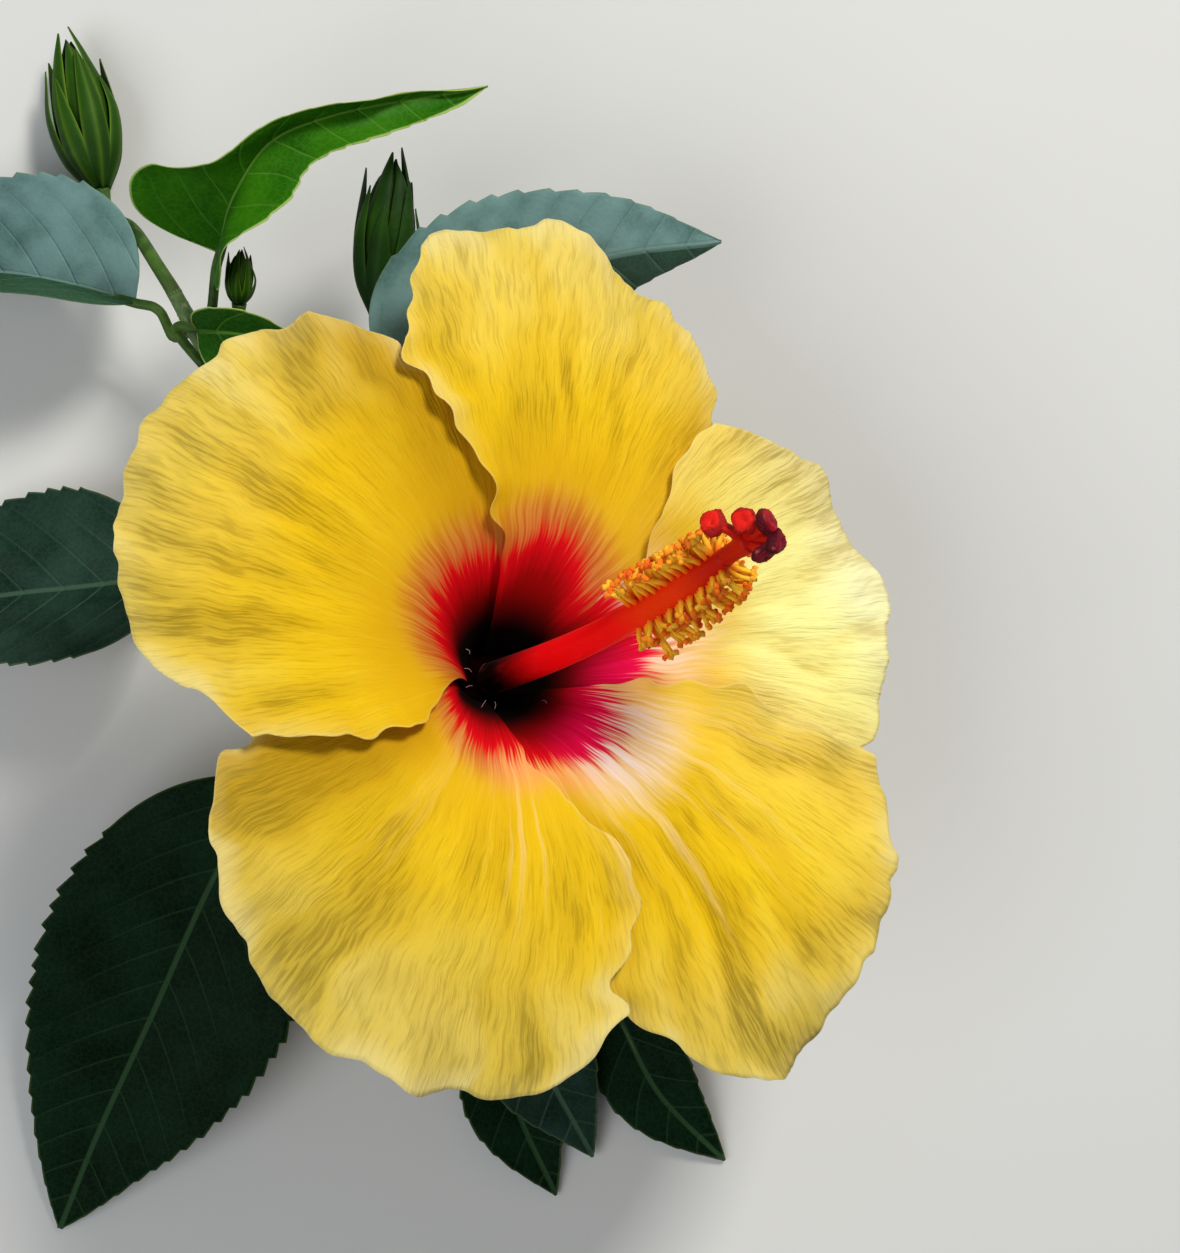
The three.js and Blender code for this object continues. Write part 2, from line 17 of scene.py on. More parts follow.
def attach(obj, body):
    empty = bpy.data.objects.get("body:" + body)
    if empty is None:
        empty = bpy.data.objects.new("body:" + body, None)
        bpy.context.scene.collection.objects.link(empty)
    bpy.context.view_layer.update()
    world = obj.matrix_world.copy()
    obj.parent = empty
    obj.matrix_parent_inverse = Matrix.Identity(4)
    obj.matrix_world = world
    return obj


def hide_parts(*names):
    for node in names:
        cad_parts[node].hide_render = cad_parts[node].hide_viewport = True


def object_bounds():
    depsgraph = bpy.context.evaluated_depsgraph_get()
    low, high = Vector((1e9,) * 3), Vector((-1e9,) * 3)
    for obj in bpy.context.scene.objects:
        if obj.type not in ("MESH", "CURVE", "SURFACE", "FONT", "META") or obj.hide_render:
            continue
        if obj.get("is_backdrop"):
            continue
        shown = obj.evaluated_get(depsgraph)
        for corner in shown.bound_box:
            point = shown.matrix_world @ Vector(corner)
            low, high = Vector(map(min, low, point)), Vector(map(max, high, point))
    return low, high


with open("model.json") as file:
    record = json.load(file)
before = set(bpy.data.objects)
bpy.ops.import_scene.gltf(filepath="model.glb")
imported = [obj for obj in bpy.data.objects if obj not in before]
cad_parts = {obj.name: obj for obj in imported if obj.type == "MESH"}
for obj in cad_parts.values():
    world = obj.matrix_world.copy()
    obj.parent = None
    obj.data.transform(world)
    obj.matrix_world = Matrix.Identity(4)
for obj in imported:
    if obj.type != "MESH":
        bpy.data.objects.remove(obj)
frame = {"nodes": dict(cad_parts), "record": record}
cad_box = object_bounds()
cad_sides = [round(side * 1000, 1) for side in cad_box[1] - cad_box[0]]
print("solids:", len(frame["nodes"]), "box:", cad_sides, "mm")

# %% [markdown]
# ## Where things are
# A plant is easier to think about in millimetres than in metres. The branch was laid out about a
# point near the bloom's throat, with the foot of its stem at a known place. The solids carry that
# foot as a mount, so the distance between the two gives the shift, and one matrix brings a
# finished piece home.

# %% From millimetres to the solids' place
stem_foot = Vector((-6, -80, 3.4))
mounts = {mount["name"]: mount for mount in frame["record"]["mounts"]}
shift = Vector(mounts["cut_end"]["pos_m"]) * 1000 - stem_foot
to_metres = Matrix.Scale(0.001, 4) @ Matrix.Translation(shift)
up = Vector((0, 0, 1))
print("shift:", [round(value, 3) for value in shift], "mm")

# %% [markdown]
# ## Camera
# The photograph was taken from right above the throat, about half a metre away. The picture is
# taller than it is wide, so the film's size counts along its height. The camera comes first,
# because what it sees decides where the finest work goes.

# %% Camera over the bloom
camera_height = 525
focus_drop = 450
picture_height = 221.8
film_height = 24.0

lens = bpy.data.cameras.new("camera")
lens.sensor_width = film_height
lens.lens = film_height * focus_drop / picture_height
camera = bpy.data.objects.new("camera", lens)
camera.location = to_metres @ Vector((0, 0, camera_height))
bpy.context.scene.collection.objects.link(camera)
bpy.context.scene.camera = camera
print("lens:", round(lens.lens, 1), "mm")

# %% [markdown]
# ## Small tools for shaping
# Petals, leaves, stalks and buds are all bent from a flat grid. The grid operator makes the faces,
# and a rule says where each corner goes from two shares: how far along the piece and how far
# across it. A sheet stays open and gets its thickness from a modifier. A stalk is the same grid
# rolled into a tube, welded along its seam and capped.

# %% Bend a grid
def between(start, end, share):
    return start + (end - start) * share


def eased(low, high, value):
    """0 below low, 1 above high, and a smooth ramp between them."""
    share = min(max((value - low) / (high - low), 0), 1)
    return share * share * (3 - 2 * share)


def bend(bm, along, across, place):
    """Adds a grid whose corners go where place says, with the marks that it gives them."""
    for vert in bmesh.ops.create_grid(bm, x_segments=along, y_segments=across, size=0.5)["verts"]:
        vert.co, marks = place(vert.co.x + 0.5, vert.co.y + 0.5)
        for name, value in marks.items():
            vert[bm.verts.layers.float[name]] = value


# %% [markdown]
# A mesh may keep numbers for its corners, such as how far along a petal each one lies. They are
# called marks here, and a finish reads them by their names.

# %% Start a mesh and close it
weld_distance = 0.0001


def new_mesh(*marks):
    """An empty mesh that can keep a number, under each of these names, for every corner."""
    bm = bmesh.new()
    for name in marks:
        bm.verts.layers.float.new(name)
    return bm


def weld(bm):
    """Closes rolled grids: their seams are merged and their ends are capped."""
    bmesh.ops.remove_doubles(bm, verts=bm.verts, dist=weld_distance)
    rims = [edge for edge in bm.edges if edge.is_boundary]
    bmesh.ops.holes_fill(bm, edges=rims, sides=0)
    bmesh.ops.recalc_face_normals(bm, faces=bm.faces)


# %% [markdown]
# ## Curves
# A stem, a rib or a stalk follows a smooth curve through a few points, and the solids use the
# same one. What is read from it is always a place at a share of its length, so that leaves and
# rings keep even steps however the points are spaced.

# %% A smooth curve through values
def blend_through(points, gaps, share):
    """A curve from points[1] to points[2] that passes through its neighbours smoothly."""
    before, start, end, after = points
    first, middle, last = gaps
    onward = (end - start) / middle
    leaving = ((start - before) / first - (end - before) / (first + middle) + onward) * middle
    arriving = (onward - (after - start) / (middle + last) + (after - end) / last) * middle
    square = end * 3 - start * 3 - leaving * 2 - arriving
    cube = start * 2 - end * 2 + leaving + arriving
    return start + leaving * share + square * share ** 2 + cube * share ** 3


def value_at(values, share):
    """A smooth curve through evenly spaced values, read at a share of the row."""
    place = min(max(share, 0), 1) * (len(values) - 1)
    index = min(int(place), len(values) - 2)
    row = [values[0], *values, values[-1]]
    return blend_through(row[index:index + 4], (1, 1, 1), place - index)


# %% [markdown]
# A path is such a curve in space. It is cut into many short steps once, and their added lengths
# tell where a share of the whole length lies.

# %% A path that is read by its length
class Path:
    """A smooth curve through points, read by a share of its length."""

    steps = 200

    def __init__(self, points):
        points = [Vector(point) for point in points]
        row = [points[0] * 2 - points[1], *points, points[-1] * 2 - points[-2]]
        spans = len(points) - 1
        self.stops = []
        for step in range(self.steps + 1):
            place = step / self.steps * spans
            index = min(int(place), spans - 1)
            near = row[index:index + 4]
            gaps = [sqrt((after - before).length) for before, after in zip(near, near[1:])]
            self.stops.append(blend_through(near, gaps, place - index))
        self.lengths = [0]
        for before, after in zip(self.stops, self.stops[1:]):
            self.lengths.append(self.lengths[-1] + (after - before).length)

    @property
    def length(self):
        return self.lengths[-1]

    def at(self, share):
        wanted = min(max(share, 0), 1) * self.length
        index = min(max(bisect_left(self.lengths, wanted), 1), self.steps)
        low, high = self.lengths[index - 1], self.lengths[index]
        return self.stops[index - 1].lerp(self.stops[index], (wanted - low) / (high - low))

    def ahead(self, share):
        near = 0.5 / self.steps
        return (self.at(share + near) - self.at(share - near)).normalized()

    def rings(self, steps):
        """Centres along the path, each with two directions across it that never twist."""
        aside = self.ahead(0).orthogonal().normalized()
        found = []
        for step in range(steps + 1):
            ahead = self.ahead(step / steps)
            aside = (aside - ahead * aside.dot(ahead)).normalized()
            found.append((self.at(step / steps), aside, ahead.cross(aside)))
        return found


# %% [markdown]
# Stems, stalks, hairs and stamens all have one shape in common: a limb, which is a grid rolled
# round a path. Its rings don't twist, because each takes over the direction of the one before it.

# %% Roll a limb
def limb(bm, path, width, sides, steps, marks=None):
    """Rolls a grid along a path. width gives the radius from the share along and the turn."""
    rings = path.rings(steps)

    def place(share, turn):
        centre, aside, over = rings[round(share * steps)]
        angle = 2 * pi * turn
        radius = width(share, turn)
        point = centre + (aside * cos(angle) + over * sin(angle)) * radius
        return point, marks(share, turn) if marks else {}

    bend(bm, steps, sides, place)


# %% [markdown]
# ## Handing a piece over
# Every piece is moved home, smoothed, given its finish and told which body it rides on, and the
# solids that it stands for are hidden.

# %% Finish a piece
thinnest_share = 0.3


def piece(name, bm, finishes, nodes=()):
    """finishes is one material, or a list from which each face picks its own by number."""
    bm.transform(to_metres)
    mesh = bpy.data.meshes.new(name)
    bm.to_mesh(mesh)
    bm.free()
    mesh.shade_smooth()
    for material in finishes if isinstance(finishes, list) else [finishes]:
        mesh.materials.append(material)
    made = bpy.data.objects.new(name, mesh)
    bpy.context.scene.collection.objects.link(made)
    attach(made, "root")
    if nodes:
        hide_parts(*nodes)
    print(f"{name}: {len(mesh.polygons)} faces")
    return made


def thicken(made, thickness):
    """Gives a sheet its thickness, thinner where its mark called rim falls to nothing."""
    group = made.vertex_groups.new(name="thickness")
    for index, mark in enumerate(made.data.attributes["rim"].data):
        group.add([index], mark.value, "REPLACE")
    solid = made.modifiers.new("thickness", "SOLIDIFY")
    solid.thickness = thickness / 1000
    solid.offset = 0
    solid.vertex_group = group.name
    solid.thickness_vertex_group = thinnest_share


# %% [markdown]
# ## Shader sums
# A finish is mostly arithmetic: this mask times that noise, less a third. Wrapping a socket in a
# small class lets the sums be written as sums, and each one adds its Math node. A colour is never
# summed this way, because a Math node would turn it grey.

# %% A socket that can be added and multiplied
class Signal:
    """A node's output, with plain arithmetic."""

    def __init__(self, finish, socket):
        self.finish = finish
        self.socket = socket

    def math(self, operation, *values):
        return self.finish.add("ShaderNodeMath", {"operation": operation}, dict(enumerate(values)))

    def __add__(self, other):
        return self.math("ADD", self, other)

    def __sub__(self, other):
        return self.math("SUBTRACT", self, other)

    def __rsub__(self, other):
        return self.math("SUBTRACT", other, self)

    def __mul__(self, other):
        return self.math("MULTIPLY", self, other)

    def __truediv__(self, other):
        return self.math("DIVIDE", self, other)

    def __pow__(self, other):
        return self.math("POWER", self, other)

    def __abs__(self):
        return self.math("ABSOLUTE", self)

    __radd__ = __add__
    __rmul__ = __mul__

    def above_nothing(self):
        return self.math("MAXIMUM", self, 0.0)

    def ramp(self, low, high):
        """0 at low, 1 at high, smooth between; low may be the larger."""
        sockets = {"Value": self, "From Min": low, "From Max": high}
        return self.finish.add("ShaderNodeMapRange", {"interpolation_type": "SMOOTHSTEP"}, sockets)


# %% [markdown]
# A finish is a second class: a material with one method that adds any node, from the node's type,
# its settings and what its sockets hold. Short names for the few nodes that every finish needs
# keep the recipes further down about colours, not about nodes. A Mix node keeps its sockets for
# numbers, vectors and colours under the same names, so those for colours go by their numbers.

# %% A material under construction
mix_share, mix_start, mix_end, mix_result = 0, 6, 7, 2


class Finish:
    """A material under construction, with the shader's constants set as it is made."""

    def __init__(self, name, **constants):
        self.material = bpy.data.materials.new(name)
        self.material.use_nodes = True
        self.tree = self.material.node_tree
        self.shader = self.tree.nodes["Principled BSDF"]
        for socket, value in constants.items():
            self.shader.inputs[socket.replace("_", " ")].default_value = value

    def add(self, kind, settings=None, sockets=None, output=0):
        """Makes a node of a kind with its settings, then fills or links its sockets."""
        node = self.tree.nodes.new(kind)
        for setting, value in (settings or {}).items():
            setattr(node, setting, value)
        for key, value in (sockets or {}).items():
            self.plug(node.inputs[key], value)
        return Signal(self, node.outputs[output])

    def plug(self, socket, value):
        if isinstance(value, Signal):
            self.tree.links.new(value.socket, socket)
        elif socket.type == "RGBA":
            socket.default_value = (*value, 1)
        else:
            socket.default_value = value

    def mark(self, name):
        """A number that the mesh keeps for every corner."""
        return self.add("ShaderNodeAttribute", {"attribute_name": name}, output="Fac")

    def vector(self, x, y, z=0.0):
        return self.add("ShaderNodeCombineXYZ", sockets={"X": x, "Y": y, "Z": z})

    def place(self):
        """The place on the object, in metres."""
        return self.add("ShaderNodeTexCoord", output="Object")

    def noise(self, vector, scale=1.0, detail=2.0, roughness=0.5):
        """Cloudy noise about nothing, mostly within a third either way."""
        sockets = {"Vector": vector, "Scale": scale, "Detail": detail, "Roughness": roughness}
        return self.add("ShaderNodeTexNoise", sockets=sockets) - 0.5

    def mix(self, share, start, end):
        """A colour that goes from start to end as share goes from 0 to 1."""
        sockets = {mix_share: share, mix_start: start, mix_end: end}
        return self.add("ShaderNodeMix", {"data_type": "RGBA"}, sockets, output=mix_result)

    def relief(self, height, distance):
        """Bump, whose depth in millimetres is the height times distance."""
        sockets = {"Height": height, "Distance": distance / 1000, "Strength": 1.0}
        return self.add("ShaderNodeBump", sockets=sockets)

    def wear(self, **results):
        """Plugs what changes over the surface, and gives the finished material."""
        for socket, value in results.items():
            self.plug(self.shader.inputs[socket.replace("_", " ")], value)
        return self.material


# %% [markdown]
# ## The bloom's place
# The open bloom leans to the right of the picture and a bit up it. It is built in its own axes,
# with the bottom of its throat at nothing and its axis upright, and each point is turned and moved
# to the branch as it is made.

# %% Where the bloom sits
bloom_base = Vector((-19, -10.1, 43.6))
bloom_tilt = radians(22)
bloom_lean = radians(35)
sideways = sin(bloom_tilt)
bloom_axis = Vector((sideways * cos(bloom_lean), sideways * sin(bloom_lean), cos(bloom_tilt)))
bloom_turn = up.rotation_difference(bloom_axis)


def in_bloom(point):
    """Brings a point from the bloom's own axes to the branch."""
    return bloom_turn @ Vector(point) + bloom_base


print("bloom faces", [round(value, 2) for value in bloom_axis])

# %% [markdown]
# ## The bloom's trumpet
# Five petals leave the throat as one funnel and open into a nearly flat disc, so they share one
# surface: a height for every distance from the axis and direction round it. Ruffles belong to
# the shared surface too, so that overlapping petals ripple together and never cut each other.

# %% The surface that the petals share
claw_radius = 5.6
bloom_radius = 78
funnel_depth = 36.5
funnel_flare = 14
edge_recurve = 3
side_droop = 6
droop_side = radians(15)
wave_height, wave_count, wave_phase = 2.2, 9, 0.6
ruffle_height, ruffle_count, ruffle_phase = 1.1, 23, 1.3
ruffle_drift, drift_count = 0.9, 3
normal_step = 0.05


def funnel_height(radius):
    return funnel_depth * (1 - exp(-(radius - claw_radius) / funnel_flare))


def corolla_point(radius, angle):
    """A point of the petals' shared surface, in the bloom's own axes."""
    out = radius / bloom_radius
    toward = max(0, cos(angle - droop_side))
    wave = wave_height * out ** 3 * sin(wave_count * angle + wave_phase)
    drift = ruffle_drift * sin(drift_count * angle)
    ruffle = ruffle_height * out ** 6 * sin(ruffle_count * angle + ruffle_phase + drift)
    droop = side_droop * toward ** 2 * out ** 2
    height = funnel_height(radius) - edge_recurve * out ** 4 - droop + wave + ruffle
    return Vector((radius * cos(angle), radius * sin(angle), height))


def corolla_normal(radius, angle):
    turn = normal_step / radius
    outward = corolla_point(radius + normal_step, angle) - corolla_point(radius - normal_step, angle)
    around = corolla_point(radius, angle + turn) - corolla_point(radius, angle - turn)
    return outward.cross(around).normalized()


print("funnel:", round(funnel_height(bloom_radius), 1), "mm high")

# %% [markdown]
# ## Petals
# Each petal overlaps the next like the blades of a pinwheel: its free edge lies on top and its
# other edge is tucked under its neighbour. Fine creases run out along it, as in silk paper. They
# are real relief in the mesh, and a mark keeps where they are so that the finish can paint shade
# into them.

# %% Petal shapes
petal_lift = 1.1
petal_overlap = 14
seam_reach = 60
seam_ruffle, ruffle_rate = 3.4, 0.17
ruffle_start, ruffle_full = 14, 24
lip_share = 0.18
lip_start = 18
lip_wave, lip_wave_rate = 0.35, 0.42
fold_height, crease_depth = 0.8, 0.16
fold_start, fold_full, crease_full = 24, 58, 46
scallop, scallop_rate = 2.4, 15
nick, nick_rate = 0.5, 44
petal_rows, petal_columns = 110, 190
row_crowding = 1.5
petal_thickness = 0.36

# painted_sunlight says how strongly each petal takes the painted sunlit patch.
petals = [
    # tucked says how strongly painted shadow lies along each petal's tucked edge.
    {"name": "petal_right", "seam": [36, 37, 51, 50], "lip": 1.2, "tucked": 0.0, "painted_sunlight": 1,
     "reach": [46, 60, 67.5, 68, 70.3, 66.8, 67.8, 62.5, 54.5], "eye": [18, 22, 24, 22.5, 21]},
    {"name": "petal_top", "seam": [106, 102, 112, 115], "lip": 1.8, "tucked": 0.5, "painted_sunlight": 0.1,
     "reach": [42, 51, 62, 71, 72, 78.6, 77, 76, 59], "eye": [17, 18, 22.5, 23.5, 19]},
    {"name": "petal_left", "seam": [188, 213, 206, 198], "lip": 2.4, "tucked": 0.8, "painted_sunlight": 0,
     "reach": [44, 57, 70.5, 75, 79, 78, 75, 68, 56], "eye": [18, 20.5, 20, 15.5, 8]},
    {"name": "petal_lower_left", "seam": [258, 275, 290, 281], "lip": 1.0, "tucked": 1.0, "painted_sunlight": 0,
     "reach": [42, 54, 67.5, 73, 78.3, 81.5, 80.3, 78.3, 67], "eye": [13, 14, 18.5, 20, 19]},
    {"name": "petal_lower_right", "seam": [334, 348, 346, 343], "lip": 3.6, "tucked": 0.2, "painted_sunlight": 0.4,
     "reach": [48, 61, 73, 85.5, 87.5, 83, 79.5, 73, 65], "eye": [17, 20, 22.5, 21, 18]},
]


def seam_angle(index, radius):
    """The direction of a petal's free edge at a distance from the axis, in degrees."""
    turns, number = divmod(index, len(petals))
    share = (radius - claw_radius) / (seam_reach - claw_radius)
    sway = noise.noise(Vector((ruffle_rate * radius, 5 * number, 0)))
    ruffle = degrees(seam_ruffle * sway * eased(ruffle_start, ruffle_full, radius) / radius)
    return value_at(petals[number]["seam"], share) + ruffle + 360 * turns


# %% [markdown]
# Folds are noise drawn out along the petal, so one formula gives every petal its own. A finer noise
# crosses nothing along thin wandering lines, and those lines become the creases.

# %% Folds and creases of a petal
petal_span = radians(85)
broad_share = 2.3
fold_sway, crease_sway = 0.8, 1.6
crease_width = 0.12


def drawn_out(index, ray, radius, count, stretch, layer, shift=0.0):
    """Noise drawn out along a petal, with more ridges side by side for a larger count."""
    return noise.noise(Vector((count * ray + shift, stretch * radius, layer + index)))


def fold_at(index, ray, radius):
    """Soft folds that fan out over the petal: above 0 on a ridge, below 0 in a valley."""
    drift = fold_sway * drawn_out(index, ray, radius, 3, 0.06, 40)
    broad = drawn_out(index, ray, radius, 7, 0.02, 0, drift + 11 * index)
    narrow = drawn_out(index, ray, radius, 19, 0.03, 20, drift + 5 * index)
    return broad_share * broad + narrow


def crease_at(index, ray, radius):
    """Fine creases along the folds: 0 between them and 1 in them."""
    drift = crease_sway * drawn_out(index, ray, radius, 7, 0.08, 60)
    line = drawn_out(index, ray, radius, 36, 0.06, 0, drift + 5 * index)
    return exp(-(line / crease_width) ** 2)


# %% [markdown]
# A petal's grid is bent by the distance from the axis and the direction round it. Its rows crowd
# towards the throat, where the shape turns most. Each corner keeps what the finish needs to know
# about it: how far out it is, how far from the eye and from the rim, and whether it lies on a
# ridge, in a crease or on one of the bloom's differently tinted sides. Ridges, creases and the
# tucked edge carry painted light and shade, and so do the sunlit side and the dim side.

# %% A petal's rim and how it stands
rosy_side = (radians(-32), 0.68)
rayed_side = (radians(-66), 0.85)
# Painted light: a sunlit side with a painted sunlit patch, and a dim side with painted shade.
sunlit_side = (radians(8), 0.62)
dim_side = (radians(-125), 0.75)
ray_share = 0.75
ray_step = 1.37
# Across a petal, the span over which the painted shadow at its tucked edge fades out.
tucked_shade_span = (0.16, 0.44)
rim_width = 3


def facing(angle, side, width):
    """1 towards a side, falling away over a width in radians."""
    turn = (angle - side + pi) % (2 * pi) - pi
    return exp(-(turn / width) ** 2)


def petal_rim(index, across):
    """How far a petal reaches, with the shallow scallops and small nicks of its edge."""
    ragged = scallop * noise.noise(Vector((scallop_rate * across, 3 * index, 0)))
    ragged += nick * noise.noise(Vector((nick_rate * across, 3 * index, 7)))
    return value_at(petals[index]["reach"], across) + ragged * sin(pi * across) ** 0.5


def petal_rise(index, across, radius, fold, crease):
    """How far a petal stands off the shared surface: its lap, its curled lip and its folds."""
    lip = max(0, (across - 1 + lip_share) / lip_share) ** 2 * eased(lip_start, 2 * lip_start, radius)
    rise = petal_lift * (2 * across - 1)
    rise += petals[index]["lip"] * lip * (1 + lip_wave * sin(lip_wave_rate * radius + index))
    rise += fold_height * fold * eased(fold_start, fold_full, radius) * sin(pi * across)
    return rise - crease_depth * crease * eased(fold_start, crease_full, radius)


# %% [markdown]
# A vein keeps about one number from the throat to the rim, and the grain is drawn out along it.
# Counted only by their share across the petal, veins would follow every sway of its edges, so the
# number is mostly the vein's true direction.

# %% Shape of one petal
def petal_ray(index, across, angle):
    """Names one vein, from the tucked edge outwards: mostly its true direction."""
    start = radians(petals[index - 1]["seam"][0] - petal_overlap)
    straight = ((angle - start + pi / 2) % (2 * pi) - pi / 2) / petal_span
    return between(across, straight, ray_share)


def petal_place(index):
    petal = petals[index]

    def place(along, across):
        rim = petal_rim(index, across)
        radius = claw_radius + (rim - claw_radius) * along ** row_crowding
        covered = seam_angle(index - 1, radius) - petal_overlap
        free = seam_angle(index, radius)
        angle = radians(between(covered, free, across))
        ray = petal_ray(index, across, angle)
        fold, crease = fold_at(index, ray, radius), crease_at(index, ray, radius)
        rise = petal_rise(index, across, radius, fold, crease)
        point = in_bloom(corolla_point(radius, angle) + corolla_normal(radius, angle) * rise)
        width = radians(free - covered) * radius
        edge = min(rim - radius, across * width, (1 - across) * width)
        marks = {
            "radius": radius,
            "ray": index * ray_step + ray,
            "eye": radius - value_at(petal["eye"], across),
            "edge": edge,
            "fold": fold,
            "crease": crease,
            "rosy": facing(angle, *rosy_side),
            "rayed": facing(angle, *rayed_side),
            # light is painted light: painted sunlight above 0 and painted dimness below 0.
            "light": facing(angle, *sunlit_side) * petal["painted_sunlight"] - facing(angle, *dim_side),
            # tucked is painted shadow along the covered edge.
            "tucked": petal["tucked"] * (1 - eased(*tucked_shade_span, across)),
            "rim": eased(0, rim_width, edge),
        }
        return point, marks

    return place


# %% [markdown]
# ## Silk
# The petals' finish is mixed from the marks that the mesh keeps and from noise drawn out along
# the veins: coarse clouds and streaks, finer veins and dashes, and barbs that feather the eye.
# Silk this saturated has next to no gloss, because a white shine would turn its red to pink.

# %% Silk marks and grain
class Silk(Finish):
    """The petals' finish, with the marks and the grain that its colours are mixed from."""

    def __init__(self):
        super().__init__("petal_silk", Roughness=0.75, Specular_IOR_Level=0.1, Subsurface_Weight=0.08,
                         Subsurface_Scale=0.001, Subsurface_Radius=(1.0, 0.6, 0.1))
        self.radius, self.ray, self.eye = self.mark("radius"), self.mark("ray"), self.mark("eye")
        self.edge, self.fold, self.crease = self.mark("edge"), self.mark("fold"), self.mark("crease")
        self.rosy, self.rayed, self.tucked = self.mark("rosy"), self.mark("rayed"), self.mark("tucked")
        # The light mark is split into painted sunlight and painted dimness.
        light = self.mark("light")
        self.painted_sunlight = light.above_nothing()
        self.painted_dimness = (0.0 - light).above_nothing()
        self.clouds = self.grain(self.ray * 4, 0.05, 9.0, 2.0)
        sway = self.ray * 150 + self.clouds * 2
        self.streaks = self.grain(self.ray * 28, 0.03, 0.0, 1.0)
        self.barbs = self.grain(self.ray * 75, 0.09, 3.0, 2.0)
        self.veins = self.grain(sway * 0.4, 0.04, 8.0, 3.0, 0.6)
        self.dashes = self.grain(sway, 0.13, 5.0, 2.0, 0.6)
        self.fibres = self.grain(self.ray * 180, 0.25, 2.0, 1.0)
        self.rays = self.grain(self.ray * 27, 0.012, 6.0, 1.0)

    def grain(self, across, stretch, layer, detail, roughness=0.5):
        """Noise drawn out along the veins; across counts its ridges from vein to vein."""
        place = self.vector(across, self.radius * stretch, layer)
        return self.noise(place, detail=detail, roughness=roughness)


# %% [markdown]
# Golden yellow comes first. It pales towards the rim and, with painted highlight, on the ridges. It
# turns olive in the folds with painted shade and under a neighbour with painted shadow, and carries
# short dark dashes along the veins, the painted shade of fine wrinkles. One side of the bloom has a
# painted sunlit patch of near cream, and the side opposite is duller with painted shade. The rim
# itself is a thin pale line.

# %% Silk yellow
def silk_yellow(silk):
    radius, clouds, fold = silk.radius, silk.clouds, silk.fold
    outer = ((radius - silk.rosy * 14).ramp(38, 84) + clouds * 0.6).ramp(0.0, 1.0)
    # Painted shade in the fold valleys and painted highlight on the ridges, read from the fold mark.
    valley = (clouds * 0.4 - fold).ramp(-0.2, 0.8) * radius.ramp(20, 54)
    ridge = (fold + clouds * 0.4).ramp(0.0, 0.8) * radius.ramp(26, 60)

    body = silk.mix(outer, (0.85, 0.53, 0.004), (0.78, 0.57, 0.08))
    hollow = silk.mix(outer, (0.54, 0.33, 0.003), (0.36, 0.26, 0.03))
    body = silk.mix(valley * 0.55, body, hollow)
    ridge_highlight = silk.mix(outer, (0.93, 0.63, 0.008), (0.84, 0.66, 0.18))
    body = silk.mix(ridge * 0.7, body, ridge_highlight)
    body = silk.mix(silk.veins.ramp(0.02, 0.2) * 0.25, body, (0.96, 0.68, 0.04))
    # Painted shadow: amber olive along the tucked edge, under the neighbour's free edge.
    body = silk.mix(silk.tucked * radius.ramp(10, 24) * 0.75, body, (0.44, 0.22, 0.001))
    # Painted shade on the dim side, then a painted sunlit patch of near cream.
    body = silk.mix(silk.painted_dimness * radius.ramp(30, 60) * 0.42, body, (0.5, 0.36, 0.02))
    sunlit_patch = silk.painted_sunlight * (radius + clouds * 30).ramp(24, 48) * (1 - valley * 0.3)
    body = silk.mix(sunlit_patch, body, silk.mix(outer, (1.0, 0.95, 0.34), (1.0, 0.98, 0.64)))

    # Painted shade of fine wrinkles: dark dashes, denser in the fold valleys.
    wrinkle_shade = (valley * 0.08 + radius.ramp(30, 66) * 0.03 - silk.dashes).ramp(0.02, 0.2)
    wrinkle_shade = wrinkle_shade * radius.ramp(20, 44) * (valley * 0.4 + 0.3) * (1 - silk.painted_sunlight * 0.55)
    body = silk.mix(wrinkle_shade, body, silk.mix(outer, (0.42, 0.25, 0.001), (0.27, 0.19, 0.02)))
    # Painted shade in the creases.
    body = silk.mix(silk.crease * outer * 0.25, body, (0.36, 0.25, 0.02))
    # The pale rim is paler on the ridges, with painted highlight.
    pallor = silk.edge.ramp(6, 0) * (ridge * 0.4 + 0.15) * radius.ramp(28, 50)
    return silk.mix(pallor + silk.edge.ramp(0.6, 0.15) * 0.25, body, (0.84, 0.7, 0.3))


# %% [markdown]
# The crimson eye feathers out in flames with a pinkish halo round it. Its edge is one distance,
# jittered by the streaks and barbs. Away from the rosy and rayed sides, painted shade turns the
# yellow deeper gold round the eye. On one side the red turns to magenta, and there pale rays and
# a rosy white glow run out over the yellow; the glow also spreads as painted highlight over the
# painted sunlit patch.

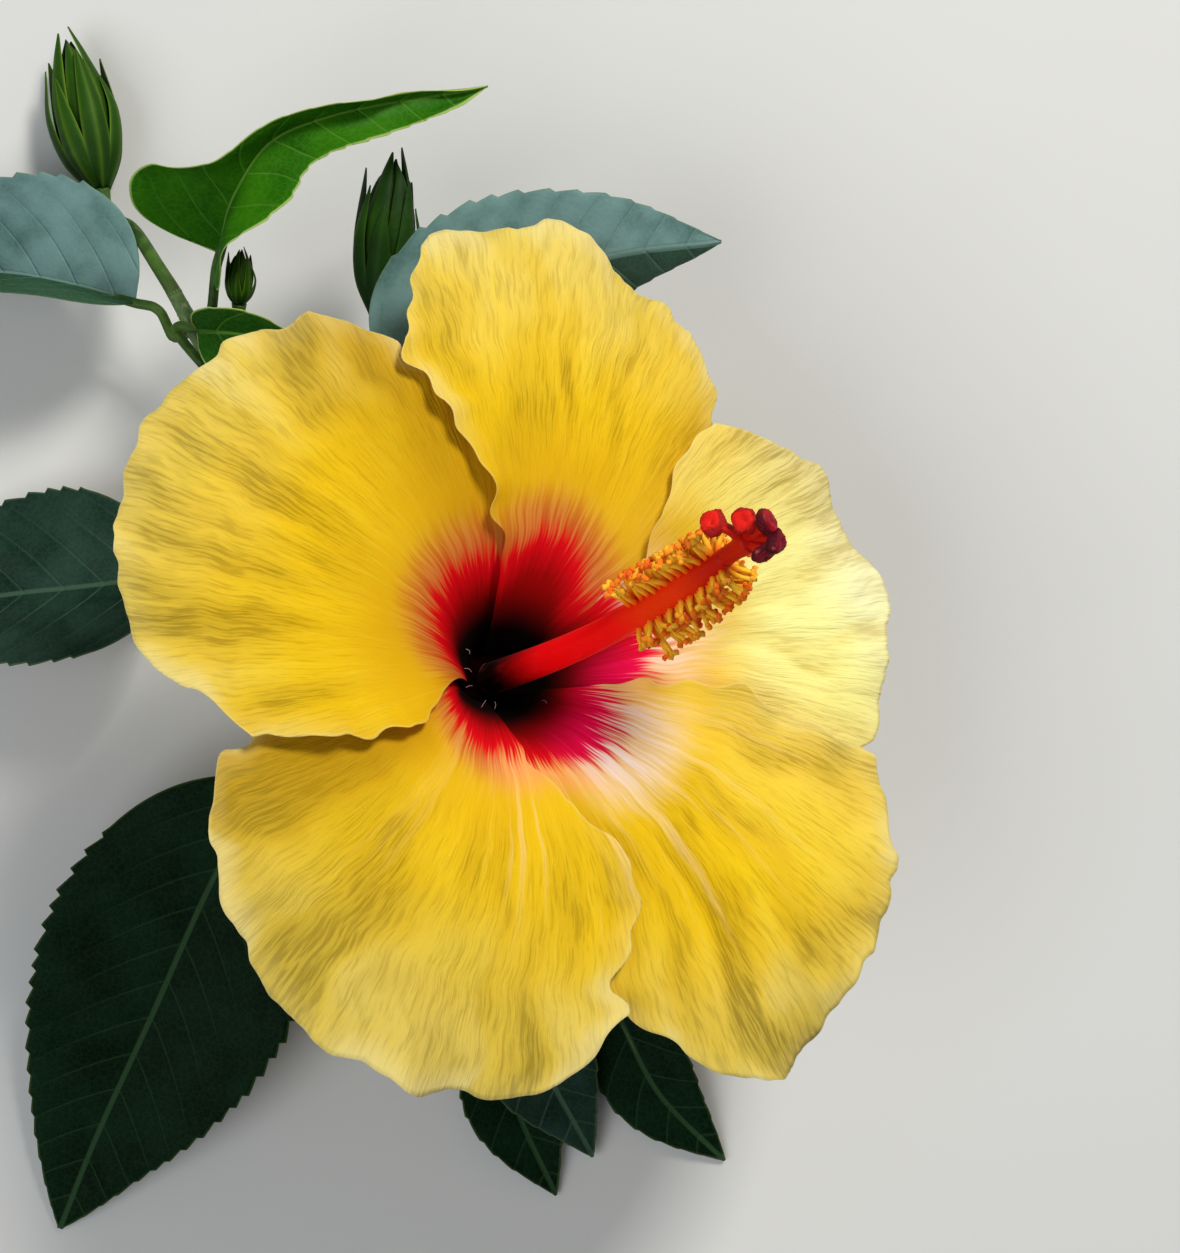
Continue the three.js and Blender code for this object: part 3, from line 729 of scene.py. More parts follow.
# %% Silk halo
def silk_halo(silk, body):
    eye, clouds, streaks, barbs = silk.eye, silk.clouds, silk.streaks, silk.barbs
    feather = (streaks * 4 + barbs * 9) * (1 + silk.rosy * 0.8)
    lines = (streaks + barbs * 0.8).ramp(-0.1, 0.12)
    # Painted shade: deeper gold round the eye, where the funnel is shaded.
    funnel_shade = (eye + clouds * 20).ramp(26, 4) * (1 - silk.rosy) * (1 - silk.rayed)
    body = silk.mix(funnel_shade * 0.4, body, (0.62, 0.3, 0.002))
    blush = silk.mix(silk.rayed.ramp(0.2, 0.8), (0.58, 0.11, 0.02), (1.0, 0.34, 0.15))
    halo = (eye + feather * 0.7).ramp(9, 1) * (1 - silk.rosy)
    body = silk.mix(halo * 0.9, body, blush)
    pale = (eye + streaks * 14).ramp(12, 3) * lines * (silk.rayed * 0.4 + 0.2)
    body = silk.mix(pale, body, (0.95, 0.48, 0.12))
    far_rays = (eye + clouds * 40).ramp(44, 6) * (silk.rays + barbs * 0.15).ramp(0.08, 0.2)
    body = silk.mix(far_rays * silk.rayed * 0.55, body, (0.98, 0.68, 0.28))
    # The glow also spreads over the painted sunlit patch, as painted highlight.
    sides = (silk.rosy * silk.rayed).ramp(0.25, 0.7) + silk.painted_sunlight * 0.7
    glow = (eye + streaks * 16).ramp(16, 3) * sides
    return silk.mix(glow * (lines * 0.6 + 0.4), body, (1.0, 0.8, 0.7)), feather


# %% [markdown]
# The eye itself is crimson, and nearly black deep in the throat with painted shade. On the rosy
# side it is magenta with darker streaks. Last comes a faint relief that follows the same veins.

# %% Silk eye
def silk_eye(silk, body, feather):
    radius, eye = silk.radius, silk.eye
    # Painted shade: the crimson turns nearly black deep in the throat.
    eye_throat_shade = silk.mix(radius.ramp(8.5, 16), (0.003, 0.0001, 0.0002), (0.34, 0.0008, 0.001))
    red = silk.mix((eye + feather * 0.5).ramp(-8, -1), eye_throat_shade, (0.74, 0.0012, 0.008))
    lines = (silk.streaks + silk.barbs).ramp(-0.2, 0.15)
    magenta = silk.mix(lines, (0.82, 0.002, 0.07), (1.0, 0.004, 0.13))
    red = silk.mix(silk.rosy.ramp(0.15, 0.8) * radius.ramp(11, 19) * 0.95, red, magenta)
    return silk.mix((eye + feather).ramp(2.2, -2.0), body, red)


def petal_silk():
    silk = Silk()
    body, feather = silk_halo(silk, silk_yellow(silk))
    colour = silk_eye(silk, body, feather)
    ripple = silk.veins * 0.18 + silk.dashes * silk.radius.ramp(24, 50) * 0.3 + silk.fibres * 0.06
    return silk.wear(Base_Color=colour, Normal=silk.relief(ripple * silk.radius.ramp(8, 40), 1.0))


# %% [markdown]
# Now the petals themselves: one grid each, bent by its own rule. The sheets get their thickness
# from a modifier, thinner at the rim, as in a real petal.

# %% Bend the five petals
silk = petal_silk()
silk_marks = ["radius", "ray", "eye", "edge", "fold", "crease", "rosy", "rayed", "light", "tucked", "rim"]
for index, petal in enumerate(petals):
    bm = new_mesh(*silk_marks)
    bend(bm, petal_rows, petal_columns, petal_place(index))
    made = piece(f"silk_{petal['name']}", bm, silk, [petal["name"]])
    thicken(made, petal_thickness)

# %% [markdown]
# ## Column, stamens and stigmas
# The red tube rises from the throat and carries more than a hundred stamens, each a fine yellow
# stalk with a small curled anther. They stand out at both sides and underneath, and leave the
# tube bare on top. Beyond them the style forks into five arms with velvet pads.

# %% The column's path
column_tip = Vector((29.2, 15.7, 112))
column_start = in_bloom((0, 0, 0.7))
column_share, style_share = 0.86, 0.93
column_radius, column_top_radius, style_radius = 3.1, 2.2, 1.65
column_bow = Vector((0.8, -2.2, 0))
column_ridge, column_ridges = 0.05, 5
neck_start = 0.9


def column_point(share):
    """The column's centre line, which bows a little before it straightens to its tip."""
    straight = column_start.lerp(column_tip, share)
    return straight + column_bow * sin(pi * min(share / style_share, 1))


column_path = Path([column_point(step / 10 * column_share) for step in range(11)])
print("column:", round(column_path.length, 1), "mm")

# %% [markdown]
# The tube is waxy: a clear red with a thin coat, nearly black with painted shade where it stands in
# the throat, orange-red where the stamens begin and deeper again towards its end. Its sheen is
# faint, because a strong one would turn the red to pink.

# %% The waxy tube
def waxy_red():
    wax = Finish("waxy_red", Roughness=0.5, Specular_IOR_Level=0.12, Coat_Weight=0.05, Coat_Roughness=0.25,
                 Sheen_Weight=0.08, Sheen_Roughness=0.3, Sheen_Tint=(1.0, 0.4, 0.35, 1.0))
    share, turn = wax.mark("share"), wax.mark("turn")
    grain = wax.noise(wax.vector(share * 14, turn * 9), detail=3.0)
    # Painted shade: nearly black at the tube's foot, down in the throat.
    red = wax.mix(share.ramp(0.06, 0.28), (0.004, 0.0001, 0.0002), (1.0, 0.002, 0.006))
    red = wax.mix(share.ramp(0.56, 0.72), red, (0.95, 0.035, 0.002))
    red = wax.mix(share.ramp(0.8, 0.97), red, (0.6, 0.008, 0.002))
    red = wax.mix(grain.ramp(0.0, 0.3) * 0.2, red, (1.0, 0.04, 0.03))
    return wax.wear(Base_Color=red, Normal=wax.relief(grain * 0.2, 1.0))


def tube_width(share, turn):
    """Slowly tapered with faint ridges, and drawn in at the top to meet the style."""
    ridge = column_ridge * cos(2 * pi * column_ridges * turn)
    neck = eased(neck_start, 1, share)
    return between(between(column_radius, column_top_radius, share), style_radius, neck) + ridge


wax = waxy_red()
bm = new_mesh("share", "turn")
limb(bm, column_path, tube_width, sides=40, steps=90,
     marks=lambda share, turn: {"share": share, "turn": turn})
weld(bm)
piece("column_tube", bm, wax, ["staminal_column"])

# %% [markdown]
# A stamen is a thin limb that leaves the tube, bends a little and ends in an anther. The anther
# is a horseshoe: two short thick limbs that curl away from each other. Turning each one by the
# golden angle spreads them evenly without rows.

# %% Where the stamens stand
stamen_count = 240
stamen_from, stamen_to = 0.63, 0.975
stamen_length, stamen_shortening = 7.0, 1.6
shortest_share = 0.5
golden_turn = pi * (3 - sqrt(5))
golden_share = 0.618
foot_sink = 0.3
front_clear = 0.42
lean_ahead, ahead_sway = 0.1, 0.5
lean_sway, lean_up = 0.35, 0.2
wobble_step, wobble_rows = 0.73, (2.3, 5.6, 8.9)


def stamen_frame(index):
    """Where a stamen leaves the tube, which way it points and how long it is."""
    far = (index + 0.5) / stamen_count
    share = between(stamen_from, stamen_to, far)
    centre, ahead = column_path.at(share), column_path.ahead(share)
    aside = ahead.cross(up).normalized()
    out = Quaternion(ahead, index * golden_turn) @ aside
    wobble = Vector([noise.noise(Vector((index * wobble_step, row, 0.5))) for row in wobble_rows])
    lean = out + ahead * (lean_ahead + ahead_sway * wobble.x) + wobble * lean_sway + up * lean_up
    lean = lean.normalized()
    length = stamen_length - stamen_shortening * far
    length *= between(shortest_share, 1, (index * golden_share) % 1)
    return centre + out * (tube_width(share, 0) - foot_sink), out, lean, ahead, length, wobble


# %% [markdown]
# A stamen that would point at the sky is left out, which keeps the tube's upper side bare. So many
# small limbs need only a few dozen faces each, and they are joined: all stalks in one mesh and all
# anthers in another.

# %% Grow the stamens
filament_radius = 0.52
anther_radius = 0.5
anther_curl = 0.62


def filament_width(share, turn):
    return filament_radius * (1.1 - 0.35 * share)


def anther_width(share, turn):
    return anther_radius * (0.5 + 0.6 * sin(pi * share) ** 0.5)


filaments = new_mesh("share")
anthers = new_mesh("share", "ripe")
grown = 0
for index in range(stamen_count):
    root, out, lean, ahead, length, wobble = stamen_frame(index)
    if out.dot(up) > front_clear:
        continue
    grown += 1
    tip = root + lean * length + ahead * (1.2 * wobble.z)
    middle = root.lerp(tip, 0.55) + out * 0.3 - ahead * (0.3 + 1.4 * wobble.x) + up * (0.8 * wobble.y)
    limb(filaments, Path([root, middle, tip]), filament_width, sides=6, steps=6,
         marks=lambda share, turn: {"share": share})
    twist = Quaternion(lean, index * 1.9) @ ahead
    ripe = eased(-0.3, 0.4, noise.noise(Vector((index * 0.31, 4, 0))))
    for side in (-1, 1):
        curl = Path([tip - lean * 0.5, tip + (lean * 0.3 + twist * side * 0.45) * (2 * anther_curl),
                     tip + (twist * side * 1.5 - lean * 0.4) * anther_curl])
        limb(anthers, curl, anther_width, sides=7, steps=5,
             marks=lambda share, turn: {"share": share, "ripe": ripe})
weld(filaments)
weld(anthers)
print("stamens:", grown)

# %% [markdown]
# Both finishes go by the share along the limb: a filament is orange where it leaves the tube and
# golden above, and an anther reddens as it ripens, some sooner than others. A warm sheen stands in
# for the light that thin stalks and pollen let through.

# %% Stamen finishes
def filament_gold():
    gold = Finish("filament_gold", Roughness=0.6, Specular_IOR_Level=0.15, Sheen_Weight=0.5,
                  Sheen_Roughness=0.5, Sheen_Tint=(1.0, 0.36, 0.04, 1.0))
    share = gold.mark("share")
    tint = gold.noise(gold.place(), scale=260, detail=1.0)
    colour = gold.mix((share + tint * 0.8).ramp(0.0, 0.6), (1.0, 0.15, 0.002), (1.0, 0.6, 0.03))
    colour = gold.mix(tint.ramp(0.02, 0.2) * 0.4, colour, (1.0, 0.3, 0.01))
    return gold.wear(Base_Color=colour)


def anther_orange():
    orange = Finish("anther_orange", Roughness=0.7, Specular_IOR_Level=0.15, Sheen_Weight=0.5,
                    Sheen_Roughness=0.5, Sheen_Tint=(1.0, 0.3, 0.05, 1.0))
    grain = orange.noise(orange.place(), scale=900, detail=2.0)
    ripe = orange.mark("ripe") + orange.mark("share") * 0.5 + grain * 0.8
    colour = orange.mix(ripe.ramp(0.2, 1.0), (1.0, 0.56, 0.03), (1.0, 0.2, 0.008))
    colour = orange.mix(ripe.ramp(0.9, 1.6), colour, (0.7, 0.05, 0.008))
    return orange.wear(Base_Color=colour, Normal=orange.relief(grain, 0.25))


piece("stamen_filaments", filaments, filament_gold())
piece("stamen_anthers", anthers, anther_orange())

# %% [markdown]
# The style is a short club that goes on from the tube in the same waxy red. At its end it forks
# into arms, each a thin limb that bends towards the place of its pad.

# %% Style and its arms
pads = [
    {"at": (20.1, 17.0, 107), "faces": (-0.6, 0.4, 1), "dusk": 0.15},
    {"at": (25.4, 17.3, 110), "faces": (-0.4, 0.1, 1), "dusk": 0.1},
    {"at": (28.9, 16.7, 113), "faces": (0.9, 0.5, 0.7), "dusk": 0.75},
    {"at": (30.3, 13.9, 113.2), "faces": (1, -0.2, 0.5), "dusk": 0.95},
    {"at": (28.4, 11.9, 112.6), "faces": (0.5, -1, 0.6), "dusk": 0.85},
]
club_swelling = 0.55
arm_radius = 1.0
style_start = column_path.at(1)
style_axis = (column_tip - column_start).normalized()
fork = column_point(style_share)

style = new_mesh("share", "turn")
club = Path([style_start - style_axis * 1.5, style_start.lerp(fork, 0.5), fork + style_axis * 0.9])
limb(style, club, lambda share, turn: style_radius + club_swelling * eased(0.45, 1, share),
     sides=24, steps=16, marks=lambda share, turn: {"share": between(0.98, 1.0, share), "turn": turn})
for pad in pads:
    home = Vector(pad["at"])
    arm = Path([fork - style_axis * 1.2, fork.lerp(home, 0.5) + style_axis * 0.6, home])
    limb(style, arm, lambda share, turn: arm_radius - 0.1 * share, sides=12, steps=14,
         marks=lambda share, turn: {"share": 0.95, "turn": turn})
weld(style)
piece("style_arms", style, wax, ["style_and_stigmas"])

# %% [markdown]
# A pad is a small round cushion with a hollow face, bright red in the middle and nearly black
# round its rim. It starts as an icosphere, flattened, and is pushed in and out by noise.

# %% Stigma pads
pad_radius = 2.1
pad_flatness = 0.62
wart_height, wart_rate = 0.14, 2.6
lobe_height, lobe_rate = 0.5, 0.45
hollow_depth, hollow_radius = 0.6, 1.1


def add_pad(bm, pad, seed):
    """A flattened ball with warts and lobes and a hollow in its upper face."""
    turned = up.rotation_difference(Vector(pad["faces"])).to_matrix().to_4x4()
    home = Matrix.Translation(pad["at"]) @ turned @ Matrix.Diagonal((1, 1, pad_flatness, 1))
    for vert in bmesh.ops.create_icosphere(bm, subdivisions=5, radius=pad_radius)["verts"]:
        spot = vert.co + Vector((seed, 0, 0))
        height = vert.co.z / pad_radius
        wart = abs(noise.noise(spot * wart_rate))
        lobe = noise.noise(spot * lobe_rate)
        hollow = exp(-(hypot(vert.co.x, vert.co.y) / hollow_radius) ** 2) * max(0, height)
        vert[bm.verts.layers.float["rim"]] = 1 - eased(0.25, 0.8, height)
        vert[bm.verts.layers.float["dusk"]] = pad["dusk"]
        vert.co = home @ (vert.co * (1 + wart_height * wart + lobe_height * lobe - hollow_depth * hollow))


# %% [markdown]
# Velvet is dark at its rim and paler where single hairs catch the light. Some pads are duskier
# than others, and a mark says how dusky each one is.

# %% Pad velvet
def stigma_velvet():
    plush = Finish("stigma_velvet", Roughness=0.6, Specular_IOR_Level=0.15)
    grain = plush.noise(plush.place(), scale=700, detail=2.0)
    patches = plush.noise(plush.place(), scale=260, detail=1.0)
    dusk = plush.mark("dusk")
    face = plush.mix((dusk + patches * 0.6).ramp(0.2, 0.9), (0.78, 0.012, 0.005), (0.2, 0.003, 0.012))
    dark = (plush.mark("rim") + grain * 0.8).ramp(0.3, 0.85)
    colour = plush.mix(dark * (dusk * 0.4 + 0.5), face, (0.05, 0.001, 0.005))
    colour = plush.mix(grain.ramp(0.12, 0.3) * 0.5, colour, (0.7, 0.1, 0.12))
    return plush.wear(Base_Color=colour, Normal=plush.relief(grain, 0.3))


velvet = new_mesh("rim", "dusk")
for index, pad in enumerate(pads):
    add_pad(velvet, pad, 7 * index)
bmesh.ops.recalc_face_normals(velvet, faces=velvet.faces)
piece("stigma_pads", velvet, stigma_velvet())

# %% [markdown]
# Deep in the throat a few pale hairs catch the light. Each is a thin limb that curls in from the
# petals' surface, and they curl to different sides so that they don't look combed.

# %% Throat hairs
hair_places = [(150, 9.0), (172, 7.6), (205, 8.6), (238, 9.6), (262, 8.0), (318, 11.0), (20, 9.4)]
hair_radius, hair_tip = 0.1, 0.04


def throat_hair(index, turn, radius):
    """A short hair that curls in from the petals' surface, each one to another side."""
    angle = radians(turn)
    foot, normal = corolla_point(radius, angle), corolla_normal(radius, angle)
    around = Vector((-sin(angle), cos(angle), 0))
    inward = Vector((-cos(angle), -sin(angle), 0.4))
    reach = 0.7 + 0.5 * ((index * 0.61) % 1)
    points = [foot + normal * 1.2, foot + normal * 1.5 + inward * 0.6 * reach,
              foot + normal * 1.6 + (inward + around * (0.9 - 0.3 * index)) * reach]
    return Path([in_bloom(point) for point in points])


hairs = new_mesh()
for index, (turn, radius) in enumerate(hair_places):
    hair = throat_hair(index, turn, radius)
    limb(hairs, hair, lambda share, turn: between(hair_radius, hair_tip, share), sides=5, steps=5)
weld(hairs)
hair_grey = Finish("throat_hair", Roughness=0.5)
piece("throat_hairs", hairs, hair_grey.wear(Base_Color=(0.36, 0.24, 0.24)))

# %% [markdown]
# Below the hairs the claws of the petals close on the column. A small collar fills that ring, so
# nothing shows through, and its near black is painted shade.

# %% Collar at the bottom of the throat
collar_radius, collar_round = 6.0, 0.5

collar = new_mesh()
ring = Path([in_bloom((0, 0, height)) for height in (-0.6, -0.2, 0.2)])
limb(collar, ring, lambda share, turn: collar_radius - collar_round * (2 * share - 1) ** 2,
     sides=40, steps=4)
weld(collar)
# Painted shade: the collar's near black stands for the throat's shadow.
dusk = Finish("throat_painted_shade", Roughness=0.9, Specular_IOR_Level=0.0)
shade = dusk.noise(dusk.place(), scale=400).ramp(-0.2, 0.3)
collar_shade_red = dusk.mix(shade, (0.0015, 0.0001, 0.0002), (0.006, 0.0003, 0.0006))
piece("throat_collar", collar, dusk.wear(Base_Color=collar_shade_red))

# %% [markdown]
# ## Greens
# Stem, stalks, leaves and buds are all green, each in its own way. One recipe makes every leaf
# finish: a blade colour, a paler network of veins and a grey-blue painted reflection of the sky on
# the leaves that lie open to it. A half that is turned from the sky is marked as shaded and gets a
# plain darker green of painted shade instead.
# The vein pattern is worked out in millimetres from the middle rib.

# %% Leaf finish
vein_spacing = 8.5
vein_slant = 0.8
vein_curve = 0.014


def vein_phase(along, side):
    """Counts the side veins that have been passed, for a place on the blade in millimetres."""
    return (along - vein_slant * side - vein_curve * side * side) / vein_spacing


def leaf_finish(name, blade, shade, vein, sky, sky_reflection_share, roughness, shine, rim_share=0.1):
    green = Finish(name, Roughness=roughness, Specular_IOR_Level=shine, Coat_Weight=shine / 3,
                   Coat_Roughness=0.25)
    along, side, edge = green.mark("along"), green.mark("side"), green.mark("edge")
    shaded = green.mark("shaded")
    aside = abs(side)
    phase = vein_phase(along, aside)
    from_vein = abs(phase.math("FRACT", phase) - 0.5) * vein_spacing
    side_vein = from_vein.ramp(0.5, 0.1) * aside.ramp(22, 4)
    middle_rib = aside.ramp(0.8, 0.35)
    place = green.vector(along, side)
    cells = green.add("ShaderNodeTexVoronoi", {"feature": "DISTANCE_TO_EDGE"},
                      {"Vector": place, "Scale": 0.7})
    net = cells.ramp(0.1, 0.02)
    clouds = green.noise(place, scale=0.07, detail=3.0)
    speckle = green.noise(place, scale=1.3, detail=2.0)

    colour = green.mix((clouds + speckle * 0.3).ramp(-0.22, 0.28), shade, blade)
    # Painted reflection: grey-blue clouds of sky over the blade.
    sky_reflection = (clouds * 1.6 + speckle * 0.15 + from_vein * 0.03).ramp(-0.3, 0.35) * sky_reflection_share
    colour = green.mix(sky_reflection, colour, sky)
    # Painted shade on a half marked as shaded, over the painted sky reflection.
    colour = green.mix(shaded * 0.9, colour, (0.01, 0.06, 0.008))
    colour = green.mix(net * 0.12, colour, vein)
    colour = green.mix(side_vein * 0.35, colour, vein)
    colour = green.mix(middle_rib * 0.85, colour, vein)
    colour = green.mix(edge.ramp(0.55, 0.15) * rim_share, colour, (0.36, 0.5, 0.12))
    height = cells.ramp(0.0, 0.3) * 0.025 - side_vein * 0.12 - middle_rib * 0.12 + speckle * 0.03
    rough = clouds * 0.2 + roughness
    return green.wear(Base_Color=colour, Roughness=rough, Normal=green.relief(height, 1.0))


# %% [markdown]
# Four greens are enough for all the leaves: a deep one made darker with painted shade, for the
# leaves in shade, a cooler one with some shine, a grey-blue one with a painted reflection of the
# sky, and a yellower one with a pale rim for young leaves.

# %% Four leaf greens
leaf_greens = {
    # The deep green is darkened with painted shade.
    "dark": leaf_finish("leaf_dark", (0.003, 0.019, 0.005), (0.001, 0.008, 0.002), (0.03, 0.075, 0.03),
                        (0.011, 0.03, 0.017), sky_reflection_share=0.2, roughness=0.6, shine=0.03),
    "shiny": leaf_finish("leaf_shiny", (0.006, 0.034, 0.018), (0.002, 0.016, 0.008), (0.05, 0.1, 0.06),
                         (0.06, 0.1, 0.09), sky_reflection_share=0.15, roughness=0.4, shine=0.12),
    "sky": leaf_finish("leaf_sky_reflection", (0.08, 0.17, 0.155), (0.05, 0.115, 0.1), (0.15, 0.26, 0.23),
                       (0.17, 0.3, 0.29), sky_reflection_share=0.8, roughness=0.65, shine=0.15),
    "young": leaf_finish("leaf_young", (0.026, 0.16, 0.002), (0.011, 0.09, 0.001), (0.12, 0.3, 0.03),
                         (0.05, 0.2, 0.003), sky_reflection_share=0.25, roughness=0.6, shine=0.04, rim_share=0.95),
}
print("leaf greens:", *leaf_greens)

# %% [markdown]
# ## Stem
# The shoot is half woody: greenish-brown bark with pale pores and shallow furrows at its foot,
# fresh green towards its tip. It swells where a stalk leaves it. The relief is in the mesh, and
# the flat cut shows pale wood under a green rind.

# %% Stem shape
stem_path = Path([stem_foot, (-18, -50, 4.6), (-32, -20, 8),
                  (-50, 12, 13), (-68, 40, 19), (-82, 66, 25)])
stem_radius, tip_radius, taper_power = 3.3, 1.5, 0.8
node_shares = [0.1, 0.2, 0.28, 0.4, 0.55, 0.62, 0.75, 0.88, 0.95]
node_swelling, node_width = 0.45, 0.018
scar_width = 0.012
furrow_depth, pore_height = 0.16, 0.22


def stem_width(share):
    taper = between(stem_radius, tip_radius, share ** taper_power)
    swelling = sum(node_swelling * exp(-((share - node) / node_width) ** 2) for node in node_shares)
    return taper + swelling * taper / stem_radius


print("stem:", round(stem_path.length, 1), "mm")

# %% [markdown]
# The bark's noise is read on a circle, so that it meets itself at the tube's seam. One noise both
# raises the pores and gives them the mark that pales them.

# %% Bark relief
furrow_round, furrow_along = 2.4, 30
pore_round, pore_along = 3.52, 130


def bark_noise(share, turn, around, along, shift=0):
    """Noise round the stem that meets itself, finer for larger numbers."""
    angle = 2 * pi * turn
    return noise.noise(Vector((cos(angle) * around + shift, sin(angle) * around, share * along)))


def bark_pores(share, turn):
    return bark_noise(share, turn, pore_round, pore_along, shift=4)


def bark_relief(share, turn):
    """Shallow furrows along the stem and small raised pores, in millimetres."""
    furrows = bark_noise(share, turn, furrow_round, furrow_along) * (1 - eased(0.35, 0.85, share))
    pores = eased(0.42, 0.6, bark_pores(share, turn))
    return (furrow_depth * furrows + pore_height * pores) * eased(0, 0.01, share)


def stem_marks(share, turn):
    nearest = min(abs(share - node) for node in node_shares)
    pore = eased(0.38, 0.55, bark_pores(share, turn))
    return {"share": share, "pore": pore, "scar": 1 - eased(0, scar_width, nearest)}


# %% [markdown]
# The bark's colours follow the same marks as its relief: pale pores, darker scars at the nodes, and
# a green that takes over from brown towards the tip. The cut has a finish of its own, with rings
# round the pith.

# %% Bark and cut wood
def bark_finish():
    bark = Finish("bark", Roughness=0.8)
    share, pore, scar = bark.mark("share"), bark.mark("pore"), bark.mark("scar")
    place = bark.place()
    grain = bark.noise(place, scale=520, detail=4.0, roughness=0.65)
    blotch = bark.noise(place, scale=130, detail=2.0)
    wood = bark.mix((grain + blotch).ramp(-0.3, 0.35), (0.09, 0.075, 0.035), (0.24, 0.2, 0.11))
    rind = bark.mix((grain + blotch).ramp(-0.3, 0.35), (0.06, 0.13, 0.025), (0.13, 0.25, 0.05))
    colour = bark.mix((share + blotch * 0.35).ramp(0.25, 0.75), wood, rind)
    colour = bark.mix(pore * 0.7, colour, (0.36, 0.33, 0.22))
    colour = bark.mix(scar * 0.35, colour, (0.1, 0.09, 0.04))
    rough = 0.85 - share.ramp(0.3, 0.9) * 0.35
    return bark.wear(Base_Color=colour, Roughness=rough, Normal=bark.relief(grain, 0.35))


def cut_wood_finish():
    cut = Finish("cut_wood", Roughness=0.75)
    off = cut.mark("ring")
    rings = cut.noise(cut.vector(off * 9, 0.0), detail=2.0)
    grain = cut.noise(cut.place(), scale=1500, detail=2.0)
    colour = cut.mix((rings + grain * 0.5).ramp(-0.25, 0.25), (0.42, 0.36, 0.2), (0.62, 0.56, 0.37))
    colour = cut.mix(off.ramp(0.2, 0.08), colour, (0.5, 0.44, 0.3))
    colour = cut.mix(off.ramp(0.84, 0.92), colour, (0.2, 0.3, 0.08))
    return cut.wear(Base_Color=colour, Normal=cut.relief(grain, 0.2))


# %% [markdown]
# The flat cut is one many-sided face. Insetting it again and again leaves rings of faces, and each
# ring keeps how far out it lies, which is what the cut wood's finish reads.

# %% Roll the stem and cut its foot
ring_count, ring_step = 8, 0.37

stem = new_mesh("share", "pore", "scar", "ring")
limb(stem, stem_path, lambda share, turn: stem_width(share) + bark_relief(share, turn),
     sides=36, steps=460, marks=stem_marks)
weld(stem)
stem.faces.ensure_lookup_table()
caps = [face for face in stem.faces if len(face.verts) > 4]
cut_face = min(caps, key=lambda face: (face.calc_center_median() - stem_foot).length)
cut_face.material_index = 1
for step in range(ring_count + 1):
    if step:
        bmesh.ops.inset_individual(stem, faces=[cut_face], thickness=ring_step, use_even_offset=True)
    for vert in cut_face.verts:
        vert[stem.verts.layers.float["ring"]] = 1 - step / (ring_count + 1)
piece("stem_bark", stem, [bark_finish(), cut_wood_finish()], ["main_stem"])

# %% [markdown]
# ## Stalks
# A leaf stalk leaves the stem from a small cushion, and its finish is a satin green with a fine
# grain. The leaves' stalks are one joined mesh, because they are many and alike.

# %% Stalk paths
stalk_radius = 1.0
clear_gap = 0.35
cushion_sink = 0.6
cushion_height, cushion_fade = 0.35, 9
root_straight, foot_straight = 3, 5


def stalk_path(share, toward, points):
    """Leaves the stem square to it and goes on through the points; also gives its root."""
    centre, ahead = stem_path.at(share), stem_path.ahead(share)
    out = Vector(toward)
    out = (out - ahead * out.dot(ahead)).normalized()
    surface = centre + out * (stem_width(share) + clear_gap)
    root = surface - out * (clear_gap + cushion_sink)
    return Path([surface, surface + out * root_straight, *points]), root


def stalk_width(share):
    """A cushion at the root, and a taper where the stalk runs out under the blade's rib."""
    taper = 1 - 0.8 * eased(0.84, 1, share)
    return (stalk_radius + cushion_height * exp(-cushion_fade * share)) * taper


# %% [markdown]
# One green serves all the stalks, a little browner at the root. A stalk is a limb that starts
# inside what carries it, so that no gap shows round its cushion.

# %% Stalk green
def stalk_finish():
    stalk = Finish("stalk_green", Roughness=0.55, Specular_IOR_Level=0.3)
    share = stalk.mark("share")
    place = stalk.place()
    grain = stalk.noise(place, scale=420, detail=3.0)
    blotch = stalk.noise(place, scale=90, detail=1.0)
    colour = stalk.mix((grain + blotch).ramp(-0.3, 0.3), (0.016, 0.055, 0.004), (0.06, 0.14, 0.012))
    colour = stalk.mix(share.ramp(0.12, 0.0) * 0.5, colour, (0.1, 0.12, 0.035))
    return stalk.wear(Base_Color=colour, Normal=stalk.relief(grain, 0.25))


stalk_green = stalk_finish()


def add_stalk(bm, path, root, width, sides=14, steps=40):
    """A stalk with a cushion at its root, which sinks into what carries it."""
    whole = Path([root, *[path.at(step / 12) for step in range(13)]])
    limb(bm, whole, lambda share, turn: width(share), sides, steps, lambda share, turn: {"share": share})


# %% [markdown]
# ## Leaves
# A blade is a sheet bent along its middle rib. The rib's curve, the roll about it and the fold
# of its halves come from the solid; the mesh adds what a solid leaves out: forward-pointing
# teeth, sunken side veins and a slight quilting between them.

# %% Leaf shapes
leaf_thickness = 0.42
roll_start, roll_end = 0.16, 0.42
slim_start, slim_end = 0.14, 0.34
usual_widest = 0.33
plain_start, plain_end = 0.2, 0.25
tooth_depth, tooth_length, tooth_jitter = 0.055, 4.2, 0.3
rows_per_tooth, blade_columns = 6, 44
quilt, quilt_level, groove_width = 0.2, 0.35, 0.9
usual_wave, wave_rate = 0.8, 0.09

